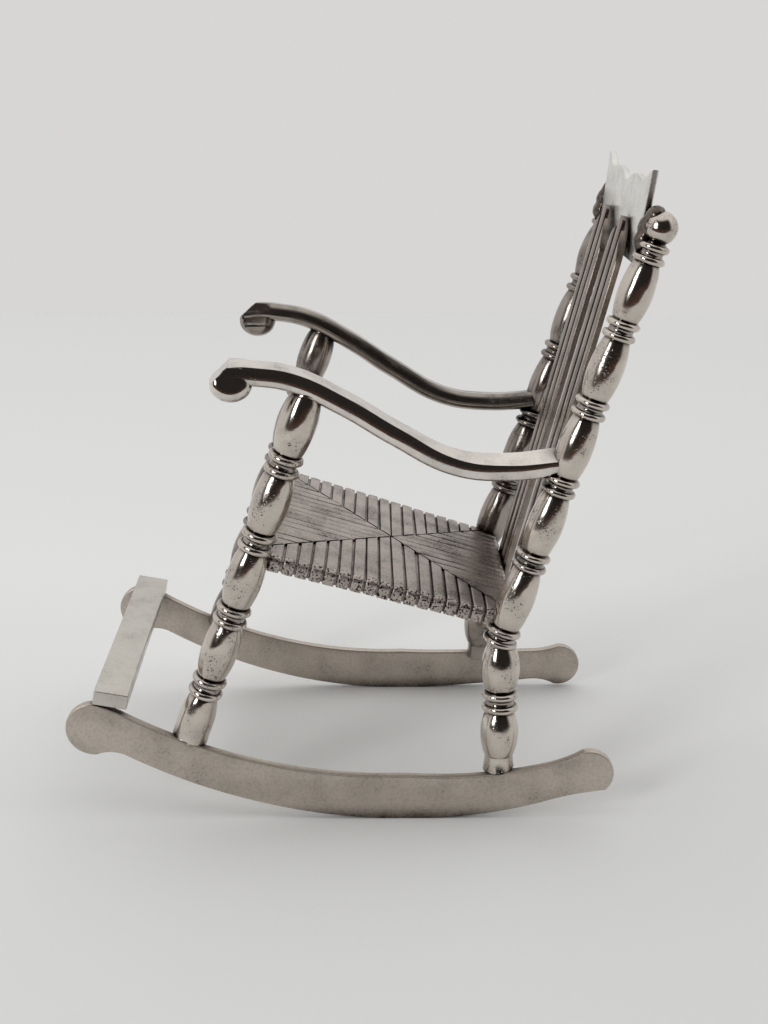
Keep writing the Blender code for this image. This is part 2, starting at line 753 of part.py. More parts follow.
def mitre_places():
    """Matrices of the two diagonal grooves."""
    front_half, rear_half, front, rear = seat_plan()
    depth = rear - front
    top = SEAT_THICKNESS / 2 + GROOVE_LIFT
    places = []
    for sign in (1.0, -1.0):
        start = Vector((sign * front_half + PATTERN_SHIFT, -depth / 2, top))
        stop = Vector((-sign * rear_half + PATTERN_SHIFT, depth / 2, top))
        turn = (stop - start).to_track_quat("Z", "X").to_matrix().to_4x4()
        places.append((Matrix.Translation((start + stop) / 2) @ turn, (stop - start).length / REACH))
    return places


def build_seat(shop, sockets):
    """A plate with the strands of a rush seat cut into it, notched round the posts."""
    front_half, rear_half, front, rear = seat_plan()
    depth = rear - front
    outline = [
        (-front_half, -depth / 2), (front_half, -depth / 2),
        (rear_half, depth / 2), (-rear_half, depth / 2),
    ]
    seat = shop.piece("seat", plate_mesh("seat", outline, SEAT_THICKNESS), shop.chair)
    tilt = math.atan2(SEAT_REAR_HEIGHT - SEAT_FRONT_HEIGHT, depth)
    middle = (SEAT_REAR_HEIGHT + SEAT_FRONT_HEIGHT) / 2 - SEAT_THICKNESS / 2
    helpers = []
    for name, places in groove_places().items():
        length = REACH
        helpers.append(shop.helper(name, prism_mesh(name, GROOVE_RADIUS, length, 4, places), shop.chair))
    for label, place in zip(("mitre_left", "mitre_right"), mitre_places()):
        helpers.append(shop.helper(label, prism_mesh(label, GROOVE_RADIUS, REACH, 4, [place]), shop.chair))
    for obj in (seat, *helpers):
        obj.location = (0.0, (front + rear) / 2, middle)
        obj.rotation_euler.x = tilt
    bevel(seat, SEAT_EDGE)
    for operand in (*sockets, *helpers):
        boolean(seat, operand)


def crest_foot():
    """Height of the crest's lower edge in the chair frame."""
    return BEND_HEIGHT + last_bead() - CREST_DROP


def crest_outline():
    """Crest plate: a notch in the middle, a scallop to each side of it, and an ear at each end."""
    ear_foot = CREST_HEIGHT - EAR_HEIGHT
    half = [(CREST_HALF, 0.0), (CREST_HALF, ear_foot), (EAR_HALF, CREST_HEIGHT)]
    notch = CREST_HEIGHT - CREST_NOTCH
    bounds = ((0.9 * CREST_HALF, 0.58 * CREST_HALF), (0.58 * CREST_HALF, 0.0))
    shoulder, waist = CREST_HEIGHT - CREST_SCALLOP, CREST_HEIGHT - 2 * CREST_SCALLOP
    levels = ((shoulder, waist), (waist, notch))
    for (outer, inner), (level_out, level_in) in zip(bounds, levels):
        for index in range(CREST_SCALLOP_POINTS):
            part = index / CREST_SCALLOP_POINTS
            bulge = CREST_SCALLOP * math.sin(math.pi * part)
            sign = 1.0 if inner == 0.0 else -1.0
            level = level_out + (level_in - level_out) * part
            half.append((outer + (inner - outer) * part, level + sign * bulge))
    return [*half, (0.0, notch), *((-x, y) for x, y in reversed(half))]


def build_crest(shop, sockets):
    """A thin plate between the finials, leaning forward from the posts."""
    crest = shop.piece("crest", plate_mesh("crest", crest_outline(), CREST_THICKNESS), shop.chair)
    crest.rotation_euler.x = math.pi / 2 + CREST_LEAN
    half = CREST_THICKNESS / 2
    back, up = half * math.cos(CREST_LEAN), half * math.sin(CREST_LEAN)
    crest.location = (0.0, CREST_FOOT_Y + back, crest_foot() + up)
    for socket in sockets:
        boolean(crest, socket)


def crest_front(height):
    """The crest's front face, as a distance to the rear in the chair frame."""
    return CREST_FOOT_Y - (height - crest_foot()) * math.tan(CREST_LEAN)


def build_slat(shop, side, sign):
    """A fluted slat with an arched top, from the seat's rear edge to the crest's front face."""
    name = "back_slat_" + side
    foot = SEAT_REAR_HEIGHT - SEAT_THICKNESS
    foot_y = seat_plan()[3] + SOLDER_GAP
    top = crest_foot() + SLAT_LAP
    top_y = crest_front(top) - SOLDER_GAP - SLAT_THICKNESS
    lean = math.atan2(foot_y - top_y, top - foot)
    length = (top - foot) / math.cos(lean)
    half = SLAT_WIDTH / 2
    arch = []
    for index in range(SLAT_ARCH_POINTS + 1):
        angle = math.pi * index / SLAT_ARCH_POINTS
        arch.append((half * math.cos(angle), length - SLAT_ARCH + SLAT_ARCH * math.sin(angle)))
    outline = [(-half, 0.0), (half, 0.0), *arch]
    slat = shop.piece(name, plate_mesh(name, outline, SLAT_THICKNESS), shop.chair)
    turn = Matrix.Rotation(math.pi / 2 + lean, 3, "X")
    centre = Vector((sign * SLAT_CENTRE, foot_y, foot)) - turn @ Vector((0.0, 0.0, SLAT_THICKNESS / 2))
    flute_name = name + "_flute"
    along = Matrix.Rotation(math.pi / 2, 4, "X")
    flute = prism_mesh(flute_name, SLAT_FLUTE_RADIUS, length, 12, [(along, 1.0)])
    cutter = shop.helper(flute_name, flute, shop.chair)
    out = SLAT_THICKNESS / 2 + SLAT_FLUTE_RADIUS - SLAT_FLUTE_DEPTH
    for obj, offset in ((slat, Vector()), (cutter, Vector((0.0, length / 2 - SLAT_ARCH, out)))):
        obj.location = centre + turn @ offset
        obj.rotation_euler.x = math.pi / 2 + lean
    boolean(slat, cutter)


def rest_on_origin(shop):
    """Stand the chair on the floor, with the middle of its box over the origin."""
    bpy.context.view_layer.update()
    graph = bpy.context.evaluated_depsgraph_get()
    corners = []
    for obj in shop.parts.objects:
        if obj.type == "MESH":
            evaluated = obj.evaluated_get(graph)
            corners += [evaluated.matrix_world @ vertex.co for vertex in evaluated.data.vertices]
    low = [min(corner[axis] for corner in corners) for axis in range(3)]
    high = [max(corner[axis] for corner in corners) for axis in range(3)]
    shop.stand.location = (-(low[0] + high[0]) / 2, -(low[1] + high[1]) / 2, -low[2])


def main():
    """Build the chair."""
    clear_scene()
    shop = Workshop()
    bar_socket = build_foot_bar(shop)
    sockets, rear_sockets = [], []
    for side, sign, sag in SIDES:
        build_runner(shop, side, sign, sag, bar_socket)
        sockets.append(build_front_post(shop, side, sign, sag))
        rear_sockets.append(build_rear_post(shop, side, sign, sag))
        build_arm(shop, side, sign, rear_sockets[-1])
        build_slat(shop, side, sign)
    build_seat(shop, sockets + rear_sockets)
    build_crest(shop, rear_sockets)
    rest_on_origin(shop)


main()
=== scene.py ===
"""Dressed scene of a miniature silver rocking chair: fine meshes, finishes, light and camera.

Sizes are written in millimetres times MM, which makes metres. In the row frame +X is the
sitter's left and faces the camera, +Y is the rear and +Z is up. The chair frame is leant back
by the posts' lean: in it the posts stand upright, so posts, seat, arms and back are drawn there.
"""

import logging
import math
from collections.abc import Callable, Iterator
from contextlib import contextmanager
from dataclasses import dataclass
from enum import Enum
from random import Random

import bpy
from mathutils import Matrix, Vector

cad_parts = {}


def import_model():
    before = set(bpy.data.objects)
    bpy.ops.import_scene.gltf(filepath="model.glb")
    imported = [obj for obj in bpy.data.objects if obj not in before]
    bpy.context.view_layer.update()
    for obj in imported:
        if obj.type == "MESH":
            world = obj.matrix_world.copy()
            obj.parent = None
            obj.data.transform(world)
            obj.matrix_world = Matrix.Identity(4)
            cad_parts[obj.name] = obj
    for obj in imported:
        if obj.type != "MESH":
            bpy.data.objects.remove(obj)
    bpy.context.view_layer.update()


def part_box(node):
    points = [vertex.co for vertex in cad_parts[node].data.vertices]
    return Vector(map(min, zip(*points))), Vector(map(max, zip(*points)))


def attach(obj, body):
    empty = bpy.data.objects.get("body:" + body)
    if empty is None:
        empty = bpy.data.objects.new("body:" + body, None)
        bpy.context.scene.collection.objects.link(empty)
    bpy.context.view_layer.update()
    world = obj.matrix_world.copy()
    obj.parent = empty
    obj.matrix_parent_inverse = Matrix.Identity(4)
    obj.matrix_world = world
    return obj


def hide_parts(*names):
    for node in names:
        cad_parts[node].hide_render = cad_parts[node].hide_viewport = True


log = logging.getLogger("rocking_chair")

MM = 0.001
WELD = 0.001 * MM
SHARP = 0.0001 * MM
BODY = "root"
ROUTE_STEPS = 10
HALVINGS = 60
RECESS_SAMPLES = 8
# Stands a plate that is drawn in XY up in the YZ plane
UPRIGHT = Matrix(((0.0, 0.0, 1.0, 0.0), (1.0, 0.0, 0.0, 0.0), (0.0, 1.0, 0.0, 0.0), (0.0, 0.0, 0.0, 1.0)))

Outline = list[tuple[float, float]]
Profile = list[tuple[float, float]]
Span = tuple[float, float]
Tree = bpy.types.NodeTree
Socket = bpy.types.NodeSocket


class Side(Enum):
    """The two sides of the chair, with the sign of their X."""

    LEFT = 1.0
    RIGHT = -1.0

    @property
    def word(self) -> str:
        """The side's name in node names."""
        return self.name.lower()


def take(obj: bpy.types.Object) -> None:
    """Select one object alone and make it active.

    Args:
        obj: The object that the next operators act on.
    """
    bpy.ops.object.select_all(action="DESELECT")
    obj.select_set(True)
    bpy.context.view_layer.objects.active = obj


@contextmanager
def edit_mode(obj: bpy.types.Object) -> Iterator[None]:
    """Edit one object with all of it selected, then go back to object mode.

    Args:
        obj: The mesh object to edit.

    Returns:
        A context that stays in edit mode.
    """
    take(obj)
    bpy.ops.object.mode_set(mode="EDIT")
    bpy.ops.mesh.select_all(action="SELECT")
    yield
    bpy.ops.object.mode_set(mode="OBJECT")


def apply_modifier(obj: bpy.types.Object, kind: str, **settings: object) -> None:
    """Add a modifier, set it and apply it.

    Args:
        obj: The mesh object to change.
        kind: The modifier's type.
        settings: The modifier's own properties.
    """
    take(obj)
    bpy.ops.object.modifier_add(type=kind)
    modifier = obj.modifiers[-1]
    for key, value in settings.items():
        setattr(modifier, key, value)
    bpy.ops.object.modifier_apply(modifier=modifier.name)


def weld(obj: bpy.types.Object) -> None:
    """Merge a mesh's doubles and turn its faces outwards.

    Args:
        obj: The mesh object to close.
    """
    with edit_mode(obj):
        bpy.ops.mesh.remove_doubles(threshold=WELD)
        bpy.ops.mesh.normals_make_consistent(inside=False)


def settle(obj: bpy.types.Object, place: Matrix) -> None:
    """Carry a piece to its place and bake that place into its mesh.

    Args:
        obj: The mesh object to place.
        place: The matrix that carries it.
    """
    obj.matrix_world = place @ obj.matrix_world
    take(obj)
    bpy.ops.object.transform_apply(location=True, rotation=True, scale=True)


def trim(obj: bpy.types.Object, point: Vector, normal: Vector) -> None:
    """Saw off what lies beyond a plane and close the cut.

    Args:
        obj: The mesh object to saw.
        point: A point of the plane.
        normal: The side that is sawn off.
    """
    with edit_mode(obj):
        bpy.ops.mesh.bisect(plane_co=point, plane_no=normal, use_fill=True, clear_outer=True)


def combine(obj: bpy.types.Object, other: bpy.types.Object, operation: str) -> None:
    """Fuse two solids, or keep only what they share, and remove the second.

    Args:
        obj: The solid that stays.
        other: The solid that is taken in or that bounds it.
        operation: UNION or INTERSECT.
    """
    apply_modifier(obj, "BOOLEAN", operation=operation, object=other, solver="EXACT")
    bpy.data.objects.remove(other, do_unlink=True)


def crossing(inside: float, outside: float, holds: Callable[[float], bool]) -> float:
    """Halve a range until it closes on the place where a condition stops holding.

    Args:
        inside: A value at which it holds.
        outside: A value at which it doesn't.
        holds: The condition.

    Returns:
        The place.
    """
    for _ in range(HALVINGS):
        middle = (inside + outside) / 2
        if holds(middle):
            inside = middle
        else:
            outside = middle
    return outside


def solid(add: Callable[..., set], name: str, place: Matrix, **settings: float) -> bpy.types.Object:
    """Add one of Blender's own solids and carry it to its place.

    Args:
        add: The operator that adds it.
        name: The piece's name.
        place: The matrix that carries it.
        settings: The operator's own settings.

    Returns:
        The piece.
    """
    bpy.ops.object.select_all(action="DESELECT")
    add(**settings)
    piece = bpy.context.object
    piece.name = name
    settle(piece, place)
    return piece


def duplicate(obj: bpy.types.Object, name: str) -> bpy.types.Object:
    """Copy a piece with a mesh of its own.

    Args:
        obj: The piece to copy.
        name: The copy's name.

    Returns:
        The copy.
    """
    twin = obj.copy()
    twin.data = obj.data.copy()
    twin.name = name
    bpy.context.collection.objects.link(twin)
    return twin


def join(pieces: list[bpy.types.Object], name: str) -> bpy.types.Object:
    """Join meshes into one object.

    Args:
        pieces: The objects to join; the first one stays.
        name: The joined object's name.

    Returns:
        The joined object.
    """
    take(pieces[0])
    for piece in pieces[1:]:
        piece.select_set(True)
    bpy.ops.object.join()
    pieces[0].name = name
    return pieces[0]


def new_object(name: str, data: bpy.types.ID) -> bpy.types.Object:
    """Add an object to the scene.

    Args:
        name: The object's name.
        data: Its curve, lamp or camera.

    Returns:
        The object.
    """
    obj = bpy.data.objects.new(name, data)
    bpy.context.collection.objects.link(obj)
    return obj


def new_curve(
    name: str, points: list[Vector], flat: bool = False, closed: bool = False
) -> bpy.types.Object:
    """Add a curve of straight segments.

    Args:
        name: The curve's name.
        points: Its points.
        flat: Whether it is a 2D curve.
        closed: Whether it ends where it starts.

    Returns:
        The curve object.
    """
    data = bpy.data.curves.new(name, "CURVE")
    data.dimensions = "2D" if flat else "3D"
    spline = data.splines.new("POLY")
    spline.points.add(len(points) - 1)
    for point, place in zip(spline.points, points):
        point.co = (*place, 1.0)
    spline.use_cyclic_u = closed
    return new_object(name, data)


def new_outline(name: str, outline: Outline) -> bpy.types.Object:
    """Add a closed flat outline as a curve.

    Args:
        name: The curve's name.
        outline: Its corners.

    Returns:
        The curve object.
    """
    return new_curve(name, [Vector((x, y, 0.0)) for x, y in outline], True, True)


def made_mesh(curve: bpy.types.Object) -> bpy.types.Object:
    """Turn a curve object into a welded mesh object.

    Args:
        curve: The curve object.

    Returns:
        The same object, as a mesh.
    """
    take(curve)
    bpy.ops.object.convert(target="MESH")
    piece = bpy.context.view_layer.objects.active
    weld(piece)
    return piece


def sectioned(line: bpy.types.Object, section: Outline) -> bpy.types.Object:
    """Draw a section along a curve and close its ends.

    Args:
        line: The curve object.
        section: Corners of the section.

    Returns:
        The same object, as a mesh.
    """
    drawn = new_outline(line.name + "_section", section)
    line.data.bevel_mode = "OBJECT"
    line.data.bevel_object = drawn
    line.data.use_fill_caps = True
    piece = made_mesh(line)
    bpy.data.objects.remove(drawn, do_unlink=True)
    return piece


def spun(name: str, profile: Profile, sides: int) -> bpy.types.Object:
    """Turn a profile on the lathe, round Z.

    Args:
        name: The piece's name.
        profile: Stations of (radius, height).
        sides: Steps of the full turn.

    Returns:
        The turned piece.
    """
    piece = made_mesh(new_curve(name, [Vector((radius, 0.0, height)) for radius, height in profile]))
    with edit_mode(piece):
        bpy.ops.mesh.spin(steps=sides, angle=math.tau, center=(0.0, 0.0, 0.0), axis=(0.0, 0.0, 1.0))
    weld(piece)
    return piece


def plate(
    name: str, outline: Outline, thickness: float, rounding: float, steps: int = 2
) -> bpy.types.Object:
    """Cut a plate with rounded edges from a flat outline, in the XY plane.

    Args:
        name: The piece's name.
        outline: Corners of the outline.
        thickness: The plate's thickness.
        rounding: Radius of its edges.
        steps: Resolution of their rounding.

    Returns:
        The plate.
    """
    curve = new_outline(name, outline)
    curve.data.fill_mode = "BOTH"
    curve.data.extrude = thickness / 2 - rounding
    curve.data.bevel_depth = rounding
    curve.data.bevel_resolution = steps
    curve.data.offset = -rounding
    return made_mesh(curve)


def swept(name: str, route: list[Vector], section: Outline, rolls: list[float]) -> bpy.types.Object:
    """Sweep a section along a smooth route that keeps its Y side up.

    Args:
        name: The piece's name.
        route: Points that the route passes.
        section: Corners of the section.
        rolls: Turn of the section round the route at each point.

    Returns:
        The swept piece, with closed ends.
    """
    data = bpy.data.curves.new(name, "CURVE")
    data.dimensions = "3D"
    data.twist_mode = "Z_UP"
    data.resolution_u = ROUTE_STEPS
    spline = data.splines.new("BEZIER")
    spline.bezier_points.add(len(route) - 1)
    for point, place, roll in zip(spline.bezier_points, route, rolls):
        point.co = place
        point.tilt = roll
        point.handle_left_type = "AUTO"
        point.handle_right_type = "AUTO"
    return sectioned(new_object(name, data), section)


def hand_worked(obj: bpy.types.Object, grain: float, depth: float, group: str = "") -> None:
    """Give a surface the slight waves that hand filing and polishing leave.

    Args:
        obj: The mesh object.
        grain: Size of the waves.
        depth: Height of the waves.
        group: The vertex group that is worked, if not all of it.
    """
    texture = bpy.data.textures.new(obj.name + "_waves", "CLOUDS")
    texture.noise_scale = grain
    texture.noise_depth = 1
    apply_modifier(
        obj, "DISPLACE", texture=texture, texture_coords="LOCAL", strength=depth, mid_level=0.5,
        vertex_group=group,
    )


def linear(code: str) -> tuple[float, float, float, float]:
    """Turn an sRGB hex colour into linear values.

    Args:
        code: The colour, as #RRGGBB.

    Returns:
        Red, green, blue and an alpha of 1.
    """

    def channel(value: int) -> float:
        """One channel, from its byte."""
        share = value / 255.0
        return share / 12.92 if share <= 0.04045 else ((share + 0.055) / 1.055) ** 2.4

    return (*(channel(int(code[start:start + 2], 16)) for start in (1, 3, 5)), 1.0)


def add_node(tree: Tree, kind: str, settings: dict[str | int, object]) -> bpy.types.Node:
    """Add a node, set it and link it.

    Args:
        tree: The node tree.
        kind: The node's type, without its prefix.
        settings: Properties by name, and inputs by name or index, each a value or a socket to link.

    Returns:
        The node.
    """
    node = tree.nodes.new("ShaderNode" + kind)
    for key, value in settings.items():
        if isinstance(value, Socket):
            tree.links.new(value, node.inputs[key])
        elif isinstance(key, str) and hasattr(node, key):
            setattr(node, key, value)
        else:
            node.inputs[key].default_value = value
    return node


def new_material(name: str) -> bpy.types.Material:
    """Add a material with an empty tree.

    Args:
        name: The material's name.

    Returns:
        The material.
    """
    material = bpy.data.materials.new(name)
    material.use_nodes = True
    material.node_tree.nodes.clear()
    return material


@dataclass(frozen=True)
class SilverFinish:
    """A finish of silver: how its surface was made, what wear and tarnish left on it, and how much darker
    it grows towards the rear.

    Sizes are real ones, in metres. Colours are sRGB. A noise span says between which values of the
    noise a mark goes from none to full. Smooth is the angle in degrees up to which a piece's faces
    are shaded as one.
    """

    name: str
    metal: str = "#D5CCC2"
    tarnish: str = "#1D1917"
    smooth: float = 35.0
    gloss: Span = (0.09, 0.2)
    gloss_noise: Span = (0.3, 0.7)
    cloud_size: float = 2.4 * MM
    cloud_detail: float = 5.0
    cloud_noise: Span = (0.42, 0.72)
    cloud_share: float = 0.22
    recess_reach: float = 2.0 * MM
    recess_share: float = 0.95
    recess_span: Span = (0.94, 0.5)
    pit_size: float = 0.3 * MM
    pit_share: float = 0.7
    pit_edge: Span = (0.34, 0.2)
    pit_patch: Span = (0.5, 0.64)
    pit_depth: float = 0.03 * MM
    ripple_size: float = 1.3 * MM
    ripple_detail: float = 1.0
    ripple_depth: float = 0.012 * MM
    grain_size: tuple[float, float, float] = (0.12 * MM, 0.12 * MM, 0.12 * MM)
    grain_detail: float = 3.0
    grain_depth: float = 0.002 * MM
    fleck_size: float = 0.16 * MM
    fleck_detail: float = 2.0
    fleck_noise: Span = (0.45, 0.75)
    fleck_share: float = 0.12
    dent_size: float = 0.24 * MM
    dent_detail: float = 2.0
    dent_black: Span = (0.48, 0.39)
    dent_depth: float = 0.0
    rear_dark_span: Span = (5.0 * MM, 13.0 * MM)
    rear_dark_share: float = 0.0

    def material(self) -> bpy.types.Material:
        """Build the finish's material, or find it if it is built.

        Returns:
            The material, on Object coordinates.
        """
        found = bpy.data.materials.get(self.name)
        if found:
            return found
        material = new_material(self.name)
        tree = material.node_tree
        place = add_node(tree, "TexCoord", {}).outputs["Object"]
        clouds = add_node(tree, "TexNoise", {
            "Vector": place, "Scale": 1.0 / self.cloud_size, "Detail": self.cloud_detail,
        }).outputs["Fac"]
        pits = self.pitted(tree, place, clouds)
        cover = self.covered(tree, place, clouds, pits)
        normal = self.worked(tree, place, pits)
        if self.dent_depth:
            cover, normal = self.hammered(tree, place, cover, normal)
        colour = add_node(tree, "Mix", {
            "data_type": "RGBA", 0: cover, 6: linear(self.metal), 7: linear(self.tarnish),
        }).outputs[2]
        roughness = add_node(tree, "MapRange", {
            "Value": clouds, "From Min": self.gloss_noise[0], "From Max": self.gloss_noise[1],
            "To Min": self.gloss[0], "To Max": self.gloss[1],
        }).outputs["Result"]
        shader = add_node(tree, "BsdfPrincipled", {
            "Metallic": 1.0, "Base Color": colour, "Roughness": roughness, "Normal": normal,
        }).outputs["BSDF"]
        add_node(tree, "OutputMaterial", {"Surface": shader})
        return material

    def pitted(self, tree: Tree, place: Socket, clouds: Socket) -> Socket:
        """Casting pits: small round holes that come in patches.

        Args:
            tree: The material's tree.
            place: Object coordinates.
            clouds: Noise that says where the patches are.

        Returns:
            How much of a pit there is at a place.
        """
        cells = add_node(tree, "TexVoronoi", {"Vector": place, "Scale": 1.0 / self.pit_size})
        holes = add_node(tree, "MapRange", {
            "Value": cells.outputs["Distance"], "From Min": self.pit_edge[0], "From Max": self.pit_edge[1],
        }).outputs["Result"]
        patches = add_node(tree, "MapRange", {
            "Value": clouds, "From Min": self.pit_patch[0], "From Max": self.pit_patch[1],
            "To Max": self.pit_share,
        }).outputs["Result"]
        return add_node(tree, "Math", {"operation": "MULTIPLY", 0: holes, 1: patches}).outputs["Value"]

    def covered(self, tree: Tree, place: Socket, clouds: Socket, pits: Socket) -> Socket:
        """Tarnish: thick in the recesses and pits, a thin cloud and fine flecks elsewhere, plus a darkening
        towards the rear.

        Args:
            tree: The material's tree.
            place: Object coordinates.
            clouds: Noise of the thin cloud.
            pits: Cover of the pits.

        Returns:
            How far the metal is covered at a place.
        """
        flecks = add_node(tree, "TexNoise", {
            "Vector": place, "Scale": 1.0 / self.fleck_size, "Detail": self.fleck_detail,
        }).outputs["Fac"]
        rear = add_node(tree, "SeparateXYZ", {0: place}).outputs["Y"]
        recess = add_node(tree, "AmbientOcclusion", {
            "samples": RECESS_SAMPLES, "Distance": self.recess_reach,
        }).outputs["AO"]
        layers = []
        for value, (start, stop), share in (
            (recess, self.recess_span, self.recess_share),
            (clouds, self.cloud_noise, self.cloud_share),
            (flecks, self.fleck_noise, self.fleck_share),
            # Darker towards the rear: a ramp on Y
            (rear, self.rear_dark_span, self.rear_dark_share),
        ):
            layers.append(add_node(tree, "MapRange", {
                "Value": value, "From Min": start, "From Max": stop, "To Max": share,
            }).outputs["Result"])
        cover = add_node(tree, "Math", {"operation": "MAXIMUM", 0: layers[0], 1: pits}).outputs["Value"]
        for layer in layers[1:]:
            cover = add_node(tree, "Math", {
                "operation": "ADD", "use_clamp": True, 0: cover, 1: layer,
            }).outputs["Value"]
        return cover

    def worked(self, tree: Tree, place: Socket, pits: Socket) -> Socket:
        """Fine relief: ripples of the hand, the grain of file or brush, and the pits.

        Args:
            tree: The material's tree.
            place: Object coordinates.
            pits: Cover of the pits.

        Returns:
            The bent normal.
        """
        ripples = add_node(tree, "TexNoise", {
            "Vector": place, "Scale": 1.0 / self.ripple_size, "Detail": self.ripple_detail,
        }).outputs["Fac"]
        stretched = add_node(tree, "Mapping", {
            "Vector": place, "Scale": tuple(1.0 / size for size in self.grain_size),
        }).outputs["Vector"]
        grain = add_node(tree, "TexNoise", {
            "Vector": stretched, "Scale": 1.0, "Detail": self.grain_detail,
        }).outputs["Fac"]
        relief = {"Height": ripples, "Distance": self.ripple_depth}
        for height, depth, inwards in (
            (grain, self.grain_depth, False),
            (pits, self.pit_depth, True),
        ):
            normal = add_node(tree, "Bump", relief).outputs["Normal"]
            relief = {"Height": height, "Distance": depth, "invert": inwards, "Normal": normal}
        return add_node(tree, "Bump", relief).outputs["Normal"]

    def hammered(self, tree: Tree, place: Socket, cover: Socket, normal: Socket) -> tuple[Socket, Socket]:
        """Dents over the folds: bright where they are rubbed, black at their bottoms.

        Args:
            tree: The material's tree.
            place: Object coordinates.
            cover: How far the metal is covered without them.
            normal: The normal without them.

        Returns:
            The cover and the normal with the dents.
        """
        fold = add_node(tree, "Attribute", {"attribute_name": "rubbed"}).outputs["Fac"]
        dents = add_node(tree, "TexNoise", {
            "Vector": place, "Scale": 1.0 / self.dent_size, "Detail": self.dent_detail,
        }).outputs["Fac"]
        bottoms = add_node(tree, "MapRange", {
            "Value": dents, "From Min": self.dent_black[0], "From Max": self.dent_black[1],
        }).outputs["Result"]
        height = add_node(tree, "Math", {"operation": "MULTIPLY", 0: dents, 1: fold}).outputs["Value"]
        black = add_node(tree, "Math", {"operation": "MULTIPLY", 0: bottoms, 1: fold}).outputs["Value"]
        rubbed = add_node(tree, "Mix", {"data_type": "FLOAT", 0: fold, 2: cover, 3: 0.0}).outputs[0]
        both = add_node(tree, "Math", {"operation": "MAXIMUM", 0: rubbed, 1: black}).outputs["Value"]
        bent = add_node(tree, "Bump", {"Height": height, "Distance": self.dent_depth, "Normal": normal})
        return both, bent.outputs["Normal"]


# Cast silver, buffed on a wheel: near mirror, with the casting's pits and black left in the grooves
BUFFED_CASTING = SilverFinish("buffed_cast_silver")
# The same castings on the right, away from the camera: darker metal as painted shade, duller, with more
# tarnish cloud
SHADED_RIGHT_CASTING = SilverFinish("shaded_right_cast_silver", metal="#A69D95", gloss=(0.14, 0.28), cloud_share=0.45)
# Drawn silver strip, buffed along its length: near mirror, softly waved, finely speckled
BUFFED_STRIP = SilverFinish(
    "buffed_silver_strip", metal="#E4DED7", smooth=30.0, gloss=(0.07, 0.16), ripple_size=2.5 * MM,
    pit_share=0.45, pit_patch=(0.56, 0.7),
)
# The same strip on the right, away from the camera: darker metal as painted shade, duller, with a thin
# brown tarnish
SHADED_RIGHT_STRIP = SilverFinish(
    "shaded_right_silver_strip", metal="#A79F97", smooth=30.0, gloss=(0.14, 0.26), ripple_size=2.5 * MM,
    cloud_share=0.35, pit_share=0.45,
)
# Rolled silver sheet, filed and left satin: a soft warm grey with cloudy tarnish and fine specks
FILED_SHEET = SilverFinish(
    "filed_silver_sheet", metal="#C8BEB3", tarnish="#3E352E", gloss=(0.34, 0.46), cloud_size=4.0 * MM,
    cloud_share=0.2, recess_share=0.8, pit_size=0.4 * MM, pit_share=0.25, ripple_depth=0.02 * MM,
    grain_size=(0.1 * MM, 0.3 * MM, 0.1 * MM), grain_depth=0.006 * MM, fleck_size=0.3 * MM, fleck_share=0.2,
)
# Rolled silver bar, filed across its ends: pale along the top, with upright file marks on the end
FILED_BAR = SilverFinish(
    "filed_silver_bar", metal="#D0CCC4", gloss=(0.26, 0.36), cloud_share=0.12, recess_share=0.75,
    pit_share=0.35, grain_size=(1.2 * MM, 0.07 * MM, 1.4 * MM), grain_depth=0.012 * MM,
)
# Rolled silver sheet, brushed: pale, with fine lines up and down
BRUSHED_SHEET = SilverFinish(
    "brushed_silver_sheet", metal="#ECEAE5", gloss=(0.24, 0.34), cloud_share=0.12, recess_share=0.9,
    pit_share=0.3, grain_size=(0.06 * MM, 0.3 * MM, 0.8 * MM), grain_depth=0.004 * MM,
)
# Rolled silver strip with reeds, oxidised: mid grey on the reeds, black in the flutes
REEDED_SHEET = SilverFinish(
    "reeded_silver_strip", metal="#A0968D", smooth=25.0, gloss=(0.2, 0.32), cloud_share=0.25,
    recess_reach=0.8 * MM, recess_share=1.0, recess_span=(0.97, 0.45), pit_share=0.3,
    grain_size=(0.06 * MM, 0.3 * MM, 0.8 * MM), grain_depth=0.004 * MM,
)
# Cast silver rush, oxidised and rubbed back: grey brown on the strands, black between them, darker towards
# the rear
OXIDISED_CASTING = SilverFinish(
    "oxidised_cast_silver", metal="#C2B8B0", tarnish="#1E1916", smooth=45.0, gloss=(0.34, 0.46),
    cloud_size=3.0 * MM, cloud_share=0.3, recess_reach=0.5 * MM, recess_share=1.0, recess_span=(0.75, 0.3),
    ripple_size=0.5 * MM, ripple_depth=0.02 * MM, grain_depth=0.012 * MM, fleck_size=0.22 * MM,
    fleck_share=0.4, dent_depth=0.04 * MM, rear_dark_share=0.3,
)
# Silver solder, run and left as it set: lumpy, darker than the metal beside it
RUN_SOLDER = SilverFinish(
    "run_silver_solder", metal="#756C64", tarnish="#1D1815", smooth=60.0, gloss=(0.16, 0.36),
    cloud_size=0.9 * MM, cloud_share=0.7, ripple_size=0.5 * MM, ripple_depth=0.05 * MM,
    recess_reach=1.6 * MM,
)
# The right side's finishes are darker copies of the left's: painted shade for the side away from the camera
POST_FINISH = {Side.LEFT: BUFFED_CASTING, Side.RIGHT: SHADED_RIGHT_CASTING}
ARM_FINISH = {Side.LEFT: BUFFED_STRIP, Side.RIGHT: SHADED_RIGHT_STRIP}


def present(piece: bpy.types.Object, finish: SilverFinish, node: str, extra: bool = False) -> None:
    """Finish a piece: shading, material and body, and hide the node it stands for.

    Args:
        piece: The mesh object, in its place.
        finish: Its finish.
        node: The node which it replaces and which is hidden.
        extra: Whether it only comes beside the node and doesn't replace it.
    """
    take(piece)
    bpy.ops.object.shade_smooth_by_angle(angle=math.radians(finish.smooth))
    piece.data.materials.clear()
    piece.data.materials.append(finish.material())
    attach(piece, BODY)
    if not extra:
        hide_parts(node)
    log.info("%s: %d faces", piece.name, len(piece.data.polygons))


